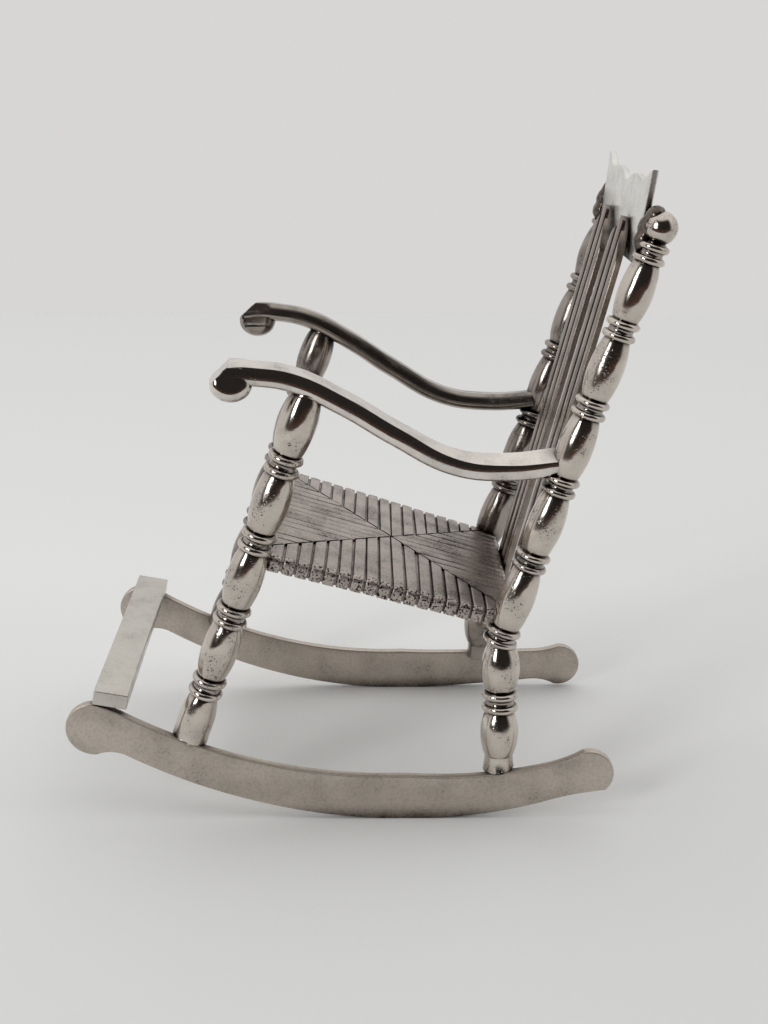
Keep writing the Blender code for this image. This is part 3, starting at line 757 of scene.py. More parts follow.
@dataclass
class Rockers:
    """Two curved runners with round lobes, and the bar let into their front lobes.

    Drawn in the stand frame, which is the row frame before its shift. Angles are measured from
    straight below the centre of the runners' arc, positive to the rear.
    """

    arc_radius: float = 61.3 * MM
    rest_facet: float = math.radians(5.4)
    depth: float = 5.3 * MM
    front_depth: float = 4.1 * MM
    rear_depth: float = 3.9 * MM
    thickness: float = 1.05 * MM
    outer_half: float = 17.3 * MM
    front_lobe: float = 3.05 * MM
    rear_lobe: float = 2.75 * MM
    front_angle: float = math.radians(-34.3)
    front_inset: float = 1.0 * MM
    rear_angle: float = math.radians(19.8)
    rear_inset: float = 1.6 * MM
    left_droop: float = 0.4 * MM
    left_lift: float = 0.4 * MM
    right_sag: float = 2.0 * MM
    sag_start: float = math.radians(4.0)
    edge: float = 0.14 * MM
    ease: float = 1.7 * MM
    heel_ease: float = 3.4 * MM
    ease_steps: int = 10
    bar_width: float = 3.75 * MM
    bar_thickness: float = 1.7 * MM
    bar_slope: float = math.radians(10.7)
    bar_turn: float = math.radians(0.93)
    bar_setback: float = 0.99 * MM
    bar_sink: float = 0.27 * MM
    bar_proud: float = 0.04 * MM
    bar_edge: float = 0.16 * MM
    bar_edge_steps: int = 4
    bar_edge_profile: float = 0.6
    step: float = math.radians(0.6)
    lobe_steps: int = 72

    def sag(self, side: Side) -> Span:
        """How far a runner's front and rear ends have sunk."""
        return (0.0, self.right_sag) if side is Side.RIGHT else (self.left_droop, -self.left_lift)

    def radius_at(self, angle: float, sag: Span) -> float:
        """Distance of the lower edge from the arc's centre, without the flat.

        Args:
            angle: The place along the runner.
            sag: How far the runner's ends have sunk.

        Returns:
            The distance.
        """
        end, drop = (self.front_angle, sag[0]) if angle < 0.0 else (self.rear_angle, sag[1])
        share = max(0.0, abs(angle) - self.sag_start) / (abs(end) - self.sag_start)
        return self.arc_radius + drop * share**2

    def depth_at(self, angle: float) -> float:
        """Height of the strip, which thins towards its tips.

        Args:
            angle: The place along the runner.

        Returns:
            The height.
        """
        end, tip = self.rear_angle, self.rear_depth
        if angle < 0.0:
            end, tip = self.front_angle, self.front_depth
        return self.depth + (tip - self.depth) * angle / end

    def polar(self, radius: float, angle: float) -> Vector:
        """A point of the runner's plane, as (Y, Z)."""
        return Vector((radius * math.sin(angle), self.arc_radius - radius * math.cos(angle)))

    def lower(self, angle: float, sag: Span) -> Vector:
        """A point of the lower edge, which is flat where the chair rests.

        Args:
            angle: The place along the runner.
            sag: How far the runner's ends have sunk.

        Returns:
            The point, as (Y, Z).
        """
        if abs(angle) < self.rest_facet / 2:
            return self.polar(self.arc_radius * math.cos(self.rest_facet / 2) / math.cos(angle), angle)
        return self.polar(self.radius_at(angle, sag), angle)

    def upper(self, angle: float, sag: Span) -> Vector:
        """A point of the upper edge."""
        return self.polar(self.radius_at(angle, sag) - self.depth_at(angle), angle)

    def way_up(self, angle: float, sag: Span) -> Vector:
        """The upper edge's normal, as (Y, Z)."""
        along = self.upper(angle + self.step, sag) - self.upper(angle - self.step, sag)
        return Vector((-along.y, along.x)).normalized()

    def lobe(self, angle: float, inset: float, sag: Span) -> Vector:
        """Centre of a lobe."""
        return self.polar(self.radius_at(angle, sag) - inset, angle)

    def leaves(
        self, edge: Callable[[float, Span], Vector], angle: float, centre: Vector, radius: float, sag: Span
    ) -> float:
        """The angle at which an edge of the strip comes out of a lobe.

        Args:
            edge: The edge's points, by angle and sag.
            angle: The lobe's angle.
            centre: The lobe's centre.
            radius: The lobe's radius.
            sag: The runner's sag.

        Returns:
            The angle.
        """
        return crossing(angle, 0.0, lambda place: (edge(place, sag) - centre).length < radius)

    def rim(self, centre: Vector, radius: float, start: Vector, stop: Vector) -> list[Vector]:
        """Round a lobe from one point of its rim to another, anticlockwise.

        Args:
            centre: The lobe's centre.
            radius: The lobe's radius.
            start: The first point.
            stop: The last point.

        Returns:
            Points of the rim.
        """
        first = math.atan2(start.y - centre.y, start.x - centre.x)
        last = math.atan2(stop.y - centre.y, stop.x - centre.x)
        sweep = (last - first) % math.tau
        turns = (first + sweep * index / self.lobe_steps for index in range(self.lobe_steps + 1))
        return [centre + radius * Vector((math.cos(turn), math.sin(turn))) for turn in turns]

    def eased(self, runs: list[list[Vector]], reaches: list[float]) -> Outline:
        """Join runs into one outline, with a soft curve in each corner.

        Args:
            runs: Runs of points, each ending where the next one starts.
            reaches: How far the curve after each run reaches from its corner.

        Returns:
            The outline's corners.
        """
        kept = []
        for index, run in enumerate(runs):
            before, after = reaches[index - 1], reaches[index]
            kept.append([
                place for place in run
                if (place - run[0]).length > before and (place - run[-1]).length > after
            ])
        points = []
        for index, run in enumerate(kept):
            start, corner, stop = run[-1], runs[index][-1], kept[(index + 1) % len(kept)][0]
            points += run
            for step in range(1, self.ease_steps):
                part = step / self.ease_steps
                points.append(start * (1 - part) ** 2 + corner * 2 * part * (1 - part) + stop * part**2)
        return [(point.x, point.y) for point in points]

    def outline(self, side: Side) -> Outline:
        """Outline of a runner, as (Y, Z): lower edge, rear lobe, upper edge, front lobe.

        Args:
            side: The runner's side.

        Returns:
            Its corners.
        """
        sag = self.sag(side)
        front = self.lobe(self.front_angle, self.front_inset, sag)
        rear = self.lobe(self.rear_angle, self.rear_inset, sag)
        runs = []
        for edge in (self.lower, self.upper):
            start = self.leaves(edge, self.front_angle, front, self.front_lobe, sag)
            stop = self.leaves(edge, self.rear_angle, rear, self.rear_lobe, sag)
            count = round((stop - start) / self.step)
            runs.append([edge(start + (stop - start) * index / count, sag) for index in range(count + 1)])
        low, high = runs
        heel = self.rim(rear, self.rear_lobe, low[-1], high[-1])
        toe = self.rim(front, self.front_lobe, high[0], low[0])
        under_heel = self.heel_ease if side is Side.LEFT else self.ease
        return self.eased([low, heel, high[::-1], toe], [under_heel, self.ease, self.ease, self.ease])

    def bar_centre(self) -> Vector:
        """Work out the foot bar's place from the front lobes.

        Returns:
            The centre.
        """
        lobes = [self.lobe(self.front_angle, self.front_inset, self.sag(side)) for side in Side]
        centre = (lobes[0] + lobes[1]) / 2
        up = self.front_lobe - self.bar_sink + self.bar_thickness / 2
        sine, cosine = math.sin(self.bar_slope), math.cos(self.bar_slope)
        y = centre.x + up * sine + self.bar_setback * cosine
        return Vector((0.0, y, centre.y + up * cosine - self.bar_setback * sine))

    def build(self, stand: Matrix) -> None:
        """Make both runners and the bar.

        Args:
            stand: Carries the stand frame to the row frame.
        """
        for side in Side:
            name = "runner_" + side.word
            runner = plate(name + "_sheet", self.outline(side), self.thickness, self.edge)
            across = side.value * (self.outer_half - self.thickness / 2)
            settle(runner, stand @ Matrix.Translation((across, 0.0, 0.0)) @ UPRIGHT)
            present(runner, FILED_SHEET, name)
        size = (2 * (self.outer_half + self.bar_proud), self.bar_width, self.bar_thickness, 1.0)
        bar = solid(bpy.ops.mesh.primitive_cube_add, "foot_bar_strip", Matrix.Diagonal(size), size=1.0)
        with edit_mode(bar):
            bpy.ops.mesh.bevel(
                offset=self.bar_edge, segments=self.bar_edge_steps, profile=self.bar_edge_profile
            )
        turn = Matrix.Rotation(self.bar_turn, 4, "Z") @ Matrix.Rotation(-self.bar_slope, 4, "X")
        settle(bar, stand @ Matrix.Translation(self.bar_centre()) @ turn)
        present(bar, FILED_BAR, "foot_bar")


@dataclass(frozen=True)
class Stance:
    """Places that the upper pieces share, in the chair frame."""

    rockers: Rockers
    shift: Vector
    lean: float = math.radians(18.8)
    front_post_y: float = -25.5 * MM
    right_front_set: float = 0.4 * MM
    front_rake: float = math.radians(-0.6)
    front_top_half: float = 16.6 * MM
    foot_radius: float = 1.75 * MM
    rear_post_y: float = 3.0 * MM
    rear_half: float = 14.0 * MM
    rear_foot_y: float = 10.2 * MM
    bend_height: float = 23.0 * MM
    arm_height: float = 44.3 * MM
    arm_thickness: float = 2.15 * MM
    seat_rear: float = 25.6 * MM
    seat_front: float = 24.4 * MM
    seat_thickness: float = 1.7 * MM
    seat_lip: float = 0.9 * MM

    @property
    def stand(self) -> Matrix:
        """Carries the stand frame to the row frame."""
        return Matrix.Translation(self.shift)

    @property
    def chair(self) -> Matrix:
        """Carries the chair frame to the row frame."""
        return self.stand @ Matrix.Rotation(-self.lean, 4, "X")

    @property
    def foot_half(self) -> float:
        """Distance of the feet's axes from the middle."""
        return self.rockers.outer_half - self.foot_radius

    def into_chair(self, place: Vector) -> Vector:
        """Turn a (Y, Z) of the stand frame into one of the chair frame."""
        cosine, sine = math.cos(self.lean), math.sin(self.lean)
        return Vector((place.x * cosine - place.y * sine, place.x * sine + place.y * cosine))

    def front_foot(self, sag: Span) -> tuple[float, Vector]:
        """Find where a front post meets its runner.

        Args:
            sag: How far the runner's ends have sunk.

        Returns:
            The height, and the way up as (Y, Z).
        """
        rockers = self.rockers
        angle = crossing(
            rockers.front_angle, rockers.rear_angle,
            lambda place: self.into_chair(rockers.upper(place, sag)).x < self.front_post_y,
        )
        return self.into_chair(rockers.upper(angle, sag)).y, self.into_chair(rockers.way_up(angle, sag))

    def rear_foot(self, sag: Span) -> tuple[Vector, Vector]:
        """Find where a rear foot meets its runner.

        Args:
            sag: How far the runner's ends have sunk.

        Returns:
            The place and the way up there, as (Y, Z).
        """
        angle = math.asin(self.rear_foot_y / (self.rockers.arc_radius - self.rockers.depth))
        place = self.into_chair(self.rockers.upper(angle, sag))
        return place, self.into_chair(self.rockers.way_up(angle, sag))

    def front_across(self, height: float) -> float:
        """Distance of the front posts' axes from the middle, at a height.

        Args:
            height: The height.

        Returns:
            The distance.
        """
        foot = self.front_foot((0.0, 0.0))[0]
        top = self.arm_height - self.arm_thickness
        return self.foot_half + (self.front_top_half - self.foot_half) * (height - foot) / (top - foot)

    def front_place(self, side: Side) -> Matrix:
        """Work out what carries a front post's axis from Z to its place.

        Args:
            side: The post's side.

        Returns:
            The matrix.
        """
        y = self.front_post_y + self.seat_front * math.tan(self.front_rake)
        if side is Side.RIGHT:
            y += self.right_front_set
        splay = math.atan(self.front_across(1.0) - self.front_across(0.0))
        turn = Matrix.Rotation(side.value * splay, 4, "Y") @ Matrix.Rotation(self.front_rake, 4, "X")
        return Matrix.Translation((side.value * self.front_across(0.0), y, 0.0)) @ turn

    def seat_plan(self) -> tuple[float, float, float, float]:
        """The seat's half widths in front and behind, and its front and rear ends."""
        front, rear = self.front_post_y - self.seat_lip, self.rear_post_y + self.seat_lip
        return self.front_across(self.seat_front), self.rear_half, front, rear


@dataclass
class Posts:
    """Four posts of turned stock: barrels with a pair of beads between them."""

    stance: Stance
    sides: int = 64
    barrel_radius: float = 2.0 * MM
    neck_radius: float = 1.44 * MM
    fullness: float = 0.72
    barrel_steps: int = 24
    bead_radius: float = 1.92 * MM
    bead_height: float = 0.88 * MM
    bead_steps: int = 10
    groove: float = 0.6 * MM
    groove_radius: float = 1.5 * MM
    groove_hollow: float = 0.1 * MM
    groove_steps: int = 4
    front_first_bead: float = 7.9 * MM
    front_pitch: float = 8.95 * MM
    front_beads: int = 4
    rear_beads: tuple[tuple[float, float], ...] = (
        (0.05 * MM, 1.95 * MM),
        (9.22 * MM, 1.95 * MM),
        (18.1 * MM, 1.91 * MM),
        (26.9 * MM, 1.87 * MM),
        (35.5 * MM, 1.79 * MM),
        (43.65 * MM, 1.7 * MM),
    )
    flare: float = 0.22 * MM
    flare_height: float = 1.5 * MM
    flare_steps: int = 4
    rear_bead_height: float = 0.76 * MM
    rear_groove: float = 0.52 * MM
    rear_set: float = 0.08 * MM
    rear_length: float = 52.5 * MM
    leg_drop: float = 7.5 * MM
    leg_swell: float = 1.05
    leg_set: float = -0.12 * MM
    leg_short: float = 0.25
    arm_sink: float = 0.6 * MM
    taper: float = 0.13
    rake: float = math.radians(0.4)
    ball_radius: float = 1.72 * MM
    ball_height: float = 46.25 * MM
    ball_foot: float = math.radians(-52.0)
    ball_steps: int = 20
    wave_size: float = 1.5 * MM
    wave_depth: float = 0.07 * MM

    @property
    def pair_half(self) -> float:
        """Half the height of a front post's bead pair."""
        return self.bead_height + self.groove / 2

    @property
    def rear_half(self) -> float:
        """Half the height of a rear post's bead pair."""
        return self.rear_bead_height + self.rear_groove / 2

    def barrel(self, low: float, high: float) -> Profile:
        """Stations of a barrel between two heights, without its ends.

        Args:
            low: The lower end's height.
            high: The upper end's height.

        Returns:
            The stations.
        """
        stations = []
        for index in range(1, self.barrel_steps):
            part = (1.0 - math.cos(math.pi * index / self.barrel_steps)) / 2
            swell = math.sin(math.pi * part) ** self.fullness
            radius = self.neck_radius + (self.barrel_radius - self.neck_radius) * swell
            stations.append((radius, low + part * (high - low)))
        return stations

    def bead_pair(self, centre: float, bead: float, height: float, groove: float) -> Profile:
        """Stations of two round beads with a hollow groove between them.

        Args:
            centre: Height of the pair's middle.
            bead: Radius of the beads.
            height: Height of one bead.
            groove: Height of the groove.

        Returns:
            Its stations.
        """
        bottom = self.groove_radius * bead / self.bead_radius
        neck = self.neck_radius * bead / self.bead_radius
        upper = []
        for index in range(self.groove_steps):
            part = index / self.groove_steps
            upper.append((bottom - self.groove_hollow * (1.0 - part**2), part * groove / 2))
        for index in range(self.bead_steps + 1):
            part = (1.0 - math.cos(math.pi * index / self.bead_steps)) / 2
            base = bottom + (neck - bottom) * part
            round_part = math.sqrt(max(0.0, 1.0 - (2.0 * part - 1.0) ** 2))
            upper.append((base + (bead - base) * round_part, groove / 2 + part * height))
        lower = [(radius, -rise) for radius, rise in reversed(upper[1:])]
        return [(radius, centre + rise) for radius, rise in (*lower, *upper)]

    def stock(self, first_bead: float, pitch: float, beads: int) -> Profile:
        """Barrels and bead pairs in turn, with a barrel at each end.

        Args:
            first_bead: Height of the first pair's middle.
            pitch: Distance between the pairs.
            beads: How many pairs there are.

        Returns:
            The stations.
        """
        profile = []
        for index in range(beads + 1):
            bead = first_bead + index * pitch
            profile += self.barrel(bead - pitch + self.pair_half, bead - self.pair_half)
            if index < beads:
                profile += self.bead_pair(bead, self.bead_radius, self.bead_height, self.groove)
        return profile

    def cut_off(self, profile: Profile, low: float, high: float) -> Profile:
        """Saw a profile off square at two heights and close its ends on the axis."""
        kept = [station for station in profile if low < station[1] < high]
        return [(0.0, low), (kept[0][0], low), *kept, (kept[-1][0], high), (0.0, high)]

    def thinned(self) -> Profile:
        """The upper rear post, which thins from the bend to the ball.

        Returns:
            The stations.
        """
        thin = []
        last = None
        for place, bead in self.rear_beads:
            if last is not None:
                for radius, height in self.barrel(last + self.rear_half, place - self.rear_half):
                    thin.append((radius * (1.0 - self.taper * height / self.rear_length), height))
            thin += self.bead_pair(place, bead, self.rear_bead_height, self.rear_groove)
            last = place
        ball = []
        for index in range(self.ball_steps + 1):
            angle = self.ball_foot + (math.pi / 2 - self.ball_foot) * index / self.ball_steps
            height = self.ball_height + self.ball_radius * math.sin(angle)
            ball.append((self.ball_radius * math.cos(angle), height))
        return [(0.0, thin[0][1]), *thin, *ball]

    def flared(self, profile: Profile, foot: float) -> Profile:
        """Spread a post's foot where solder runs out onto the runner.

        Args:
            profile: The post's stations, from below upwards.
            foot: Height of the foot.

        Returns:
            The stations with the foot spread.
        """
        spread = []
        for (radius, height), (next_radius, next_height) in zip(profile, profile[1:]):
            near = height < foot + self.flare_height
            for index in range(self.flare_steps if near else 1):
                part = index / self.flare_steps
                rise = height + (next_height - height) * part
                wide = radius + (next_radius - radius) * part
                away = min(1.0, max(0.0, (rise - foot) / self.flare_height))
                spread.append((wide + self.flare * (1.0 - away) ** 2 if wide > 0.0 else wide, rise))
        return [*spread, profile[-1]]

    def build_front(self, side: Side, arm_under: float, arm_up: Vector) -> None:
        """Make a front post between its runner and its arm.

        Args:
            side: The post's side.
            arm_under: Height of the arm's underside at the post.
            arm_up: The arm's way up there, as (Y, Z).
        """
        stance = self.stance
        foot, up = stance.front_foot(stance.rockers.sag(side))
        reach = stance.foot_radius
        profile = self.stock(self.front_first_bead, self.front_pitch, self.front_beads)
        name = "front_post_" + side.word
        stock = self.flared(self.cut_off(profile, foot - reach, arm_under + reach), foot)
        post = spun(name + "_turning", stock, self.sides)
        settle(post, stance.front_place(side))
        trim(post, Vector((0.0, stance.front_post_y, foot)), -Vector((0.0, *up)))
        trim(post, Vector((0.0, stance.front_post_y, arm_under + self.arm_sink)), Vector((0.0, *arm_up)))
        settle(post, stance.chair)
        hand_worked(post, self.wave_size, self.wave_depth)
        present(post, POST_FINISH[side], name)

    def build_rear(self, side: Side) -> None:
        """Make a rear post: the upper stock, and a raked and splayed leg below the bend.

        Args:
            side: The post's side.
        """
        stance = self.stance
        name = "rear_post_" + side.word
        post = spun(name + "_turning", self.thinned(), self.sides)
        bend = Vector((side.value * stance.rear_half, stance.rear_post_y, stance.bend_height))
        upright = Matrix.Translation(bend + Vector((0.0, self.rear_set, 0.0)))
        settle(post, upright @ Matrix.Rotation(self.rake, 4, "X"))
        place, up = stance.rear_foot(stance.rockers.sag(side))
        foot = Vector((side.value * stance.foot_half, place.x + self.leg_set, place.y))
        length = (bend - foot).length
        top = length - self.leg_short * self.pair_half
        stock = self.cut_off(self.stock(length - self.leg_drop, self.leg_drop, 1), -stance.foot_radius, top)
        swelled = self.flared([(radius * self.leg_swell, height) for radius, height in stock], 0.0)
        leg = spun(name + "_leg", swelled, self.sides)
        turn = (bend - foot).to_track_quat("Z", "X").to_matrix().to_4x4()
        settle(leg, Matrix.Translation(foot) @ turn)
        combine(post, leg, "UNION")
        trim(post, foot, -Vector((0.0, *up)))
        settle(post, stance.chair)
        hand_worked(post, self.wave_size, self.wave_depth)
        present(post, POST_FINISH[side], name)


@dataclass
class Arms:
    """Two flat-topped arms, round below, with an oval knob under the turned-down front."""

    stance: Stance
    flat_half: float = 1.15 * MM
    flank_half: float = 1.62 * MM
    flank_depth: float = 1.3 * MM
    flank_steps: int = 8
    round_steps: int = 12
    squareness: float = 0.85
    roll: float = math.radians(6.0)
    rear_station: float = 1.2 * MM
    route: tuple[tuple[float, float], ...] = (
        (6.5 * MM, -2.2 * MM),
        (11.5 * MM, -3.2 * MM),
        (18.2 * MM, -2.1 * MM),
        (24.5 * MM, -0.6 * MM),
        (30.5 * MM, 0.2 * MM),
        (34.6 * MM, -0.42 * MM),
        (36.4 * MM, -0.92 * MM),
        (38.2 * MM, -1.75 * MM),
    )
    rear_roll: float = math.radians(24.0)
    roll_reach: float = 17.0 * MM
    knob_station: float = 36.1 * MM
    knob_drop: float = 3.08 * MM
    knob_half: tuple[float, float, float] = (1.68 * MM, 2.16 * MM, 1.82 * MM)
    knob_round: float = 1.05 * MM
    knob_round_steps: int = 6
    knob_roll: float = math.radians(13.9)
    knob_raise: float = 2.0
    knob_sink: float = 0.06 * MM
    knob_steps: int = 64
    turn_station: float = 37.73 * MM
    turn_drop: float = 2.6 * MM
    turn_slope: float = math.radians(62.0)

    def toe(self) -> float:
        """Angle in plan by which the arms open towards the front.

        Returns:
            The angle.
        """
        stance = self.stance
        reach = stance.rear_post_y - stance.front_post_y
        return math.atan2(stance.front_top_half - stance.rear_half, reach)

    def section(self) -> Outline:
        """Section of the arm: flat on top, leaning flanks, round below.

        Returns:
            Its corners.
        """
        right = []
        for index in range(self.flank_steps + 1):
            part = index / self.flank_steps
            lean_in = (self.flank_half - self.flat_half) * (1.0 - part) ** 2
            right.append((self.flank_half - lean_in, -part * self.flank_depth))
        belly = self.stance.arm_thickness - self.flank_depth
        for index in range(1, self.round_steps + 1):
            angle = math.pi / 2 * index / self.round_steps
            x = self.flank_half * max(0.0, math.cos(angle)) ** self.squareness
            right.append((x, -self.flank_depth - belly * math.sin(angle) ** self.squareness))
        return [*right, *((-x, y) for x, y in reversed(right[:-1]))]

    def underside(self) -> tuple[float, Vector]:
        """Find the arm's underside over the front post.

        Returns:
            The underside's height, and the way up there as (Y, Z).
        """
        stance = self.stance
        station = (stance.rear_post_y - stance.front_post_y) / math.cos(self.toe())
        for (start, low), (stop, high) in zip(self.route, self.route[1:]):
            if start <= station <= stop:
                slope = (high - low) / (stop - start)
                top = stance.arm_height + low + slope * (station - start)
                return top - stance.arm_thickness, Vector((slope, 1.0)).normalized()
        raise ValueError("the front post stands past the arm's ends")

    def build(self) -> None:
        """Make both arms."""
        stance = self.stance
        for side in Side:
            name = "arm_" + side.word
            points = [Vector((0.0, -self.rear_station, stance.arm_height))]
            points += [Vector((0.0, -station, stance.arm_height + rise)) for station, rise in self.route]
            rolls = [-side.value * self.rolled(side, -point.y) for point in points]
            arm = swept(name + "_strip", points, self.section(), rolls)
            turned = Vector((0.0, -math.sin(self.turn_slope), math.cos(self.turn_slope)))
            corner = Vector((0.0, -self.turn_station, stance.arm_height - self.turn_drop))
            knob = self.knob(name + "_knob", side)
            trim(arm, corner, turned)
            trim(knob, corner, turned)
            arm = join([arm, knob], name + "_strip")
            place = Matrix.Translation((side.value * stance.rear_half, stance.rear_post_y, 0.0))
            settle(arm, stance.chair @ place @ Matrix.Rotation(side.value * self.toe(), 4, "Z"))
            present(arm, ARM_FINISH[side], name)

    def rolled(self, side: Side, station: float) -> float:
        """Outward roll of an arm at a station; the left one rolls further towards its rear end.

        Args:
            side: The arm's side.
            station: Distance from the rear post.

        Returns:
            The roll.
        """
        if side is Side.RIGHT:
            return self.roll
        part = min(1.0, max(0.0, 1.0 - (station - self.rear_station) / self.roll_reach))
        return self.roll + (self.rear_roll - self.roll) * part

    def knob(self, name: str, side: Side) -> bpy.types.Object:
        """Shape the knob under the strip's front end: oval, with flat cheeks and well rounded edges.

        Args:
            name: The knob's name.
            side: The arm's side.

        Returns:
            The knob, in the arm's own frame.
        """
        across, along, up = self.knob_half
        turns = [math.tau * index / self.knob_steps for index in range(self.knob_steps)]
        lifts = [math.sin(turn) * (self.knob_raise if turn < math.pi else 1.0) for turn in turns]
        oval = [(along * math.cos(turn), up * lift) for turn, lift in zip(turns, lifts)]
        knob = plate(name, oval, 2 * across, self.knob_round, self.knob_round_steps)
        centre = Vector((0.0, -self.knob_station, self.stance.arm_height - self.knob_drop))
        level = Matrix.Rotation(self.stance.lean, 4, "X")
        rolled = Matrix.Rotation(-side.value * self.knob_roll, 4, "Y")
        settle(knob, Matrix.Translation(centre) @ level @ rolled @ UPRIGHT)
        top = Vector((0.0, -self.route[-2][0], self.stance.arm_height + self.route[-2][1] - self.knob_sink))
        (back, low), (front, high) = self.route[-3:-1]
        slope = Vector((0.0, (high - low) / (front - back), 1.0)).normalized()
        trim(knob, top, Matrix.Rotation(side.value * self.roll, 3, "Y") @ slope)
        inward = Vector((-side.value, 0.0, 0.0))
        trim(knob, self.flank_half * inward, inward)
        return knob


@dataclass
class RushSeat:
    """A seat of flat rush strands that fold over its four edges and meet in mitres.

    Drawn flat in its own frame: its middle at the origin, its top at Z 0, its front at -Y.
    """

    stance: Stance
    pitch: float = 1.51 * MM
    pattern_shift: float = -1.0 * MM
    side_half: float = 0.625 * MM
    end_half: float = 0.69 * MM
    strand_thin: float = 0.35 * MM
    squareness: float = 0.3
    section_steps: int = 24
    groove_depth: float = 0.36 * MM
    edge_depth: float = 0.3 * MM
    fold: float = 0.3 * MM
    fold_steps: int = 8
    drop_steps: int = 5
    strand_length: float = 18.0 * MM
    strand_steps: int = 18
    crowding: float = 0.8
    fold_band: float = 1.5 * MM
    fold_fade: float = 0.5
    mitre_gap: float = 0.11 * MM
    sway: float = math.radians(0.6)
    shake: float = 0.05 * MM
    end_margin: float = 0.3
    wave_size: float = 0.9 * MM
    wave_depth: float = 0.06 * MM
    hammer_size: float = 0.35 * MM
    hammer_depth: float = 0.08 * MM
    seed: int = 7

    def strand(self, name: str, half: float) -> bpy.types.Object:
        """Model one strand along X: its fold at X 0, its free end inwards.

        Args:
            name: The strand's name.
            half: Half its width.

        Returns:
            The strand, with a vertex group for the band over its fold.
        """
        thin = self.strand_thin
        inner = -self.fold - thin
        route = []
        for index in range(self.strand_steps):
            part = (index / self.strand_steps) ** self.crowding
            route.append(Vector((-self.strand_length + (self.strand_length + inner) * part, -thin, 0.0)))
        for index in range(self.fold_steps + 1):
            angle = math.pi / 2 * index / self.fold_steps
            x = inner + self.fold * math.sin(angle)
            route.append(Vector((x, -thin - self.fold * (1.0 - math.cos(angle)), 0.0)))
        low = -thin - self.fold
        drop = self.stance.seat_thickness + low
        for index in range(1, self.drop_steps + 1):
            route.append(Vector((-thin, low - drop * index / self.drop_steps, 0.0)))
        section = []
        for index in range(self.section_steps):
            angle = math.tau * index / self.section_steps
            cosine, sine = math.cos(angle), math.sin(angle)
            x = math.copysign(abs(cosine) ** self.squareness, cosine) * thin
            section.append((x, math.copysign(abs(sine) ** self.squareness, sine) * half))
        line = new_curve(name, route, flat=True)
        line.data.fill_mode = "NONE"
        strand = sectioned(line, section)
        settle(strand, Matrix.Rotation(math.pi / 2, 4, "X"))
        parts = [(1.0 + vertex.co.x / self.fold_band) / self.fold_fade for vertex in strand.data.vertices]
        weights = [min(1.0, max(0.0, part)) for part in parts]
        group = strand.vertex_groups.new(name="fold")
        for index, weight in enumerate(weights):
            group.add([index], weight, "REPLACE")
        strand.data.attributes.new("rubbed", "FLOAT", "POINT")
        strand.data.attributes["rubbed"].data.foreach_set("value", weights)
        return strand

    def build(self) -> None:
        """Make the seat: strands over a base plate."""
        stance = self.stance
        front_half, rear_half, front, rear = stance.seat_plan()
        depth = rear - front
        middle = (front + rear) / 2
        top = (stance.seat_front + stance.seat_rear) / 2
        tilt = math.atan2(stance.seat_rear - stance.seat_front, depth)
        meeting = -depth / 2 + depth * front_half / (front_half + rear_half)
        corners = [
            Vector((front_half, -depth / 2, 0.0)), Vector((rear_half, depth / 2, 0.0)),
            Vector((-rear_half, depth / 2, 0.0)), Vector((-front_half, -depth / 2, 0.0)),
        ]
        centre = Vector((self.pattern_shift, meeting, 0.0))
        shaken = Random(self.seed)
        strands = []
        for index, start in enumerate(corners):
            stop = corners[(index + 1) % 4]
            strands += self.field(start, stop, centre, shaken)
        sunk, inset = self.groove_depth, self.edge_depth
        narrow, short = 1.0 - inset / front_half, 1.0 - 2 * inset / depth
        outline = [(corner.x * narrow, corner.y * short) for corner in corners]
        low = stance.seat_thickness
        core = plate("seat_core", outline, low - sunk, self.fold)
        settle(core, Matrix.Translation((0.0, 0.0, -(low + sunk) / 2)))
        seat = join([core, *strands], "seat_rush")
        settle(seat, stance.chair @ Matrix.Translation((0.0, middle, top)) @ Matrix.Rotation(tilt, 4, "X"))
        hand_worked(seat, self.wave_size, self.wave_depth)
        hand_worked(seat, self.hammer_size, self.hammer_depth, "fold")
        present(seat, OXIDISED_CASTING, "seat")

    def field(self, start: Vector, stop: Vector, centre: Vector, shaken: Random) -> list[bpy.types.Object]:
        """Lay the strands of one side of the seat, sawn off at the mitres.

        Args:
            start: The side's first corner, going anticlockwise.
            stop: Its last corner.
            centre: Where the mitres meet.
            shaken: Gives each strand its small errors.

        Returns:
            The strands.
        """
        along = stop - start
        sideways = abs(along.y) > abs(along.x)
        run = 1 if sideways else 0
        across = 1 - run
        pattern = self.strand("rush", self.side_half if sideways else self.end_half)
        out = Vector((0.0, 0.0, 0.0))
        out[across] = math.copysign(1.0, (start + stop)[across])
        shift = Vector((self.pattern_shift, 0.0, 0.0))
        ends = sorted((start[run], stop[run]))
        count = int((ends[1] - ends[0]) / self.pitch) + 2
        margin = self.end_margin * self.pitch
        strands = []
        for index in range(-count, count):
            place = centre[run] + (index + 0.5) * self.pitch
            if not ends[0] + margin < place < ends[1] - margin:
                continue
            fold = start + along * (place - start[run]) / along[run]
            strand = duplicate(pattern, "strand")
            turn = Matrix.Rotation(math.atan2(out.y, out.x) + shaken.uniform(-self.sway, self.sway), 4, "Z")
            lift = Vector((0.0, 0.0, shaken.uniform(-self.shake, 0.0)))
            settle(strand, Matrix.Translation(fold + lift) @ turn)
            for corner in (start + shift, stop + shift):
                mitre = centre - corner
                normal = Vector((-mitre.y, mitre.x, 0.0)).normalized()
                if normal.dot((start + stop) / 2 + shift - corner) > 0.0:
                    normal = -normal
                trim(strand, corner - normal * self.mitre_gap, normal)
            if strand.data.polygons:
                strands.append(strand)
            else:
                bpy.data.objects.remove(strand, do_unlink=True)
        bpy.data.objects.remove(pattern, do_unlink=True)
        return strands


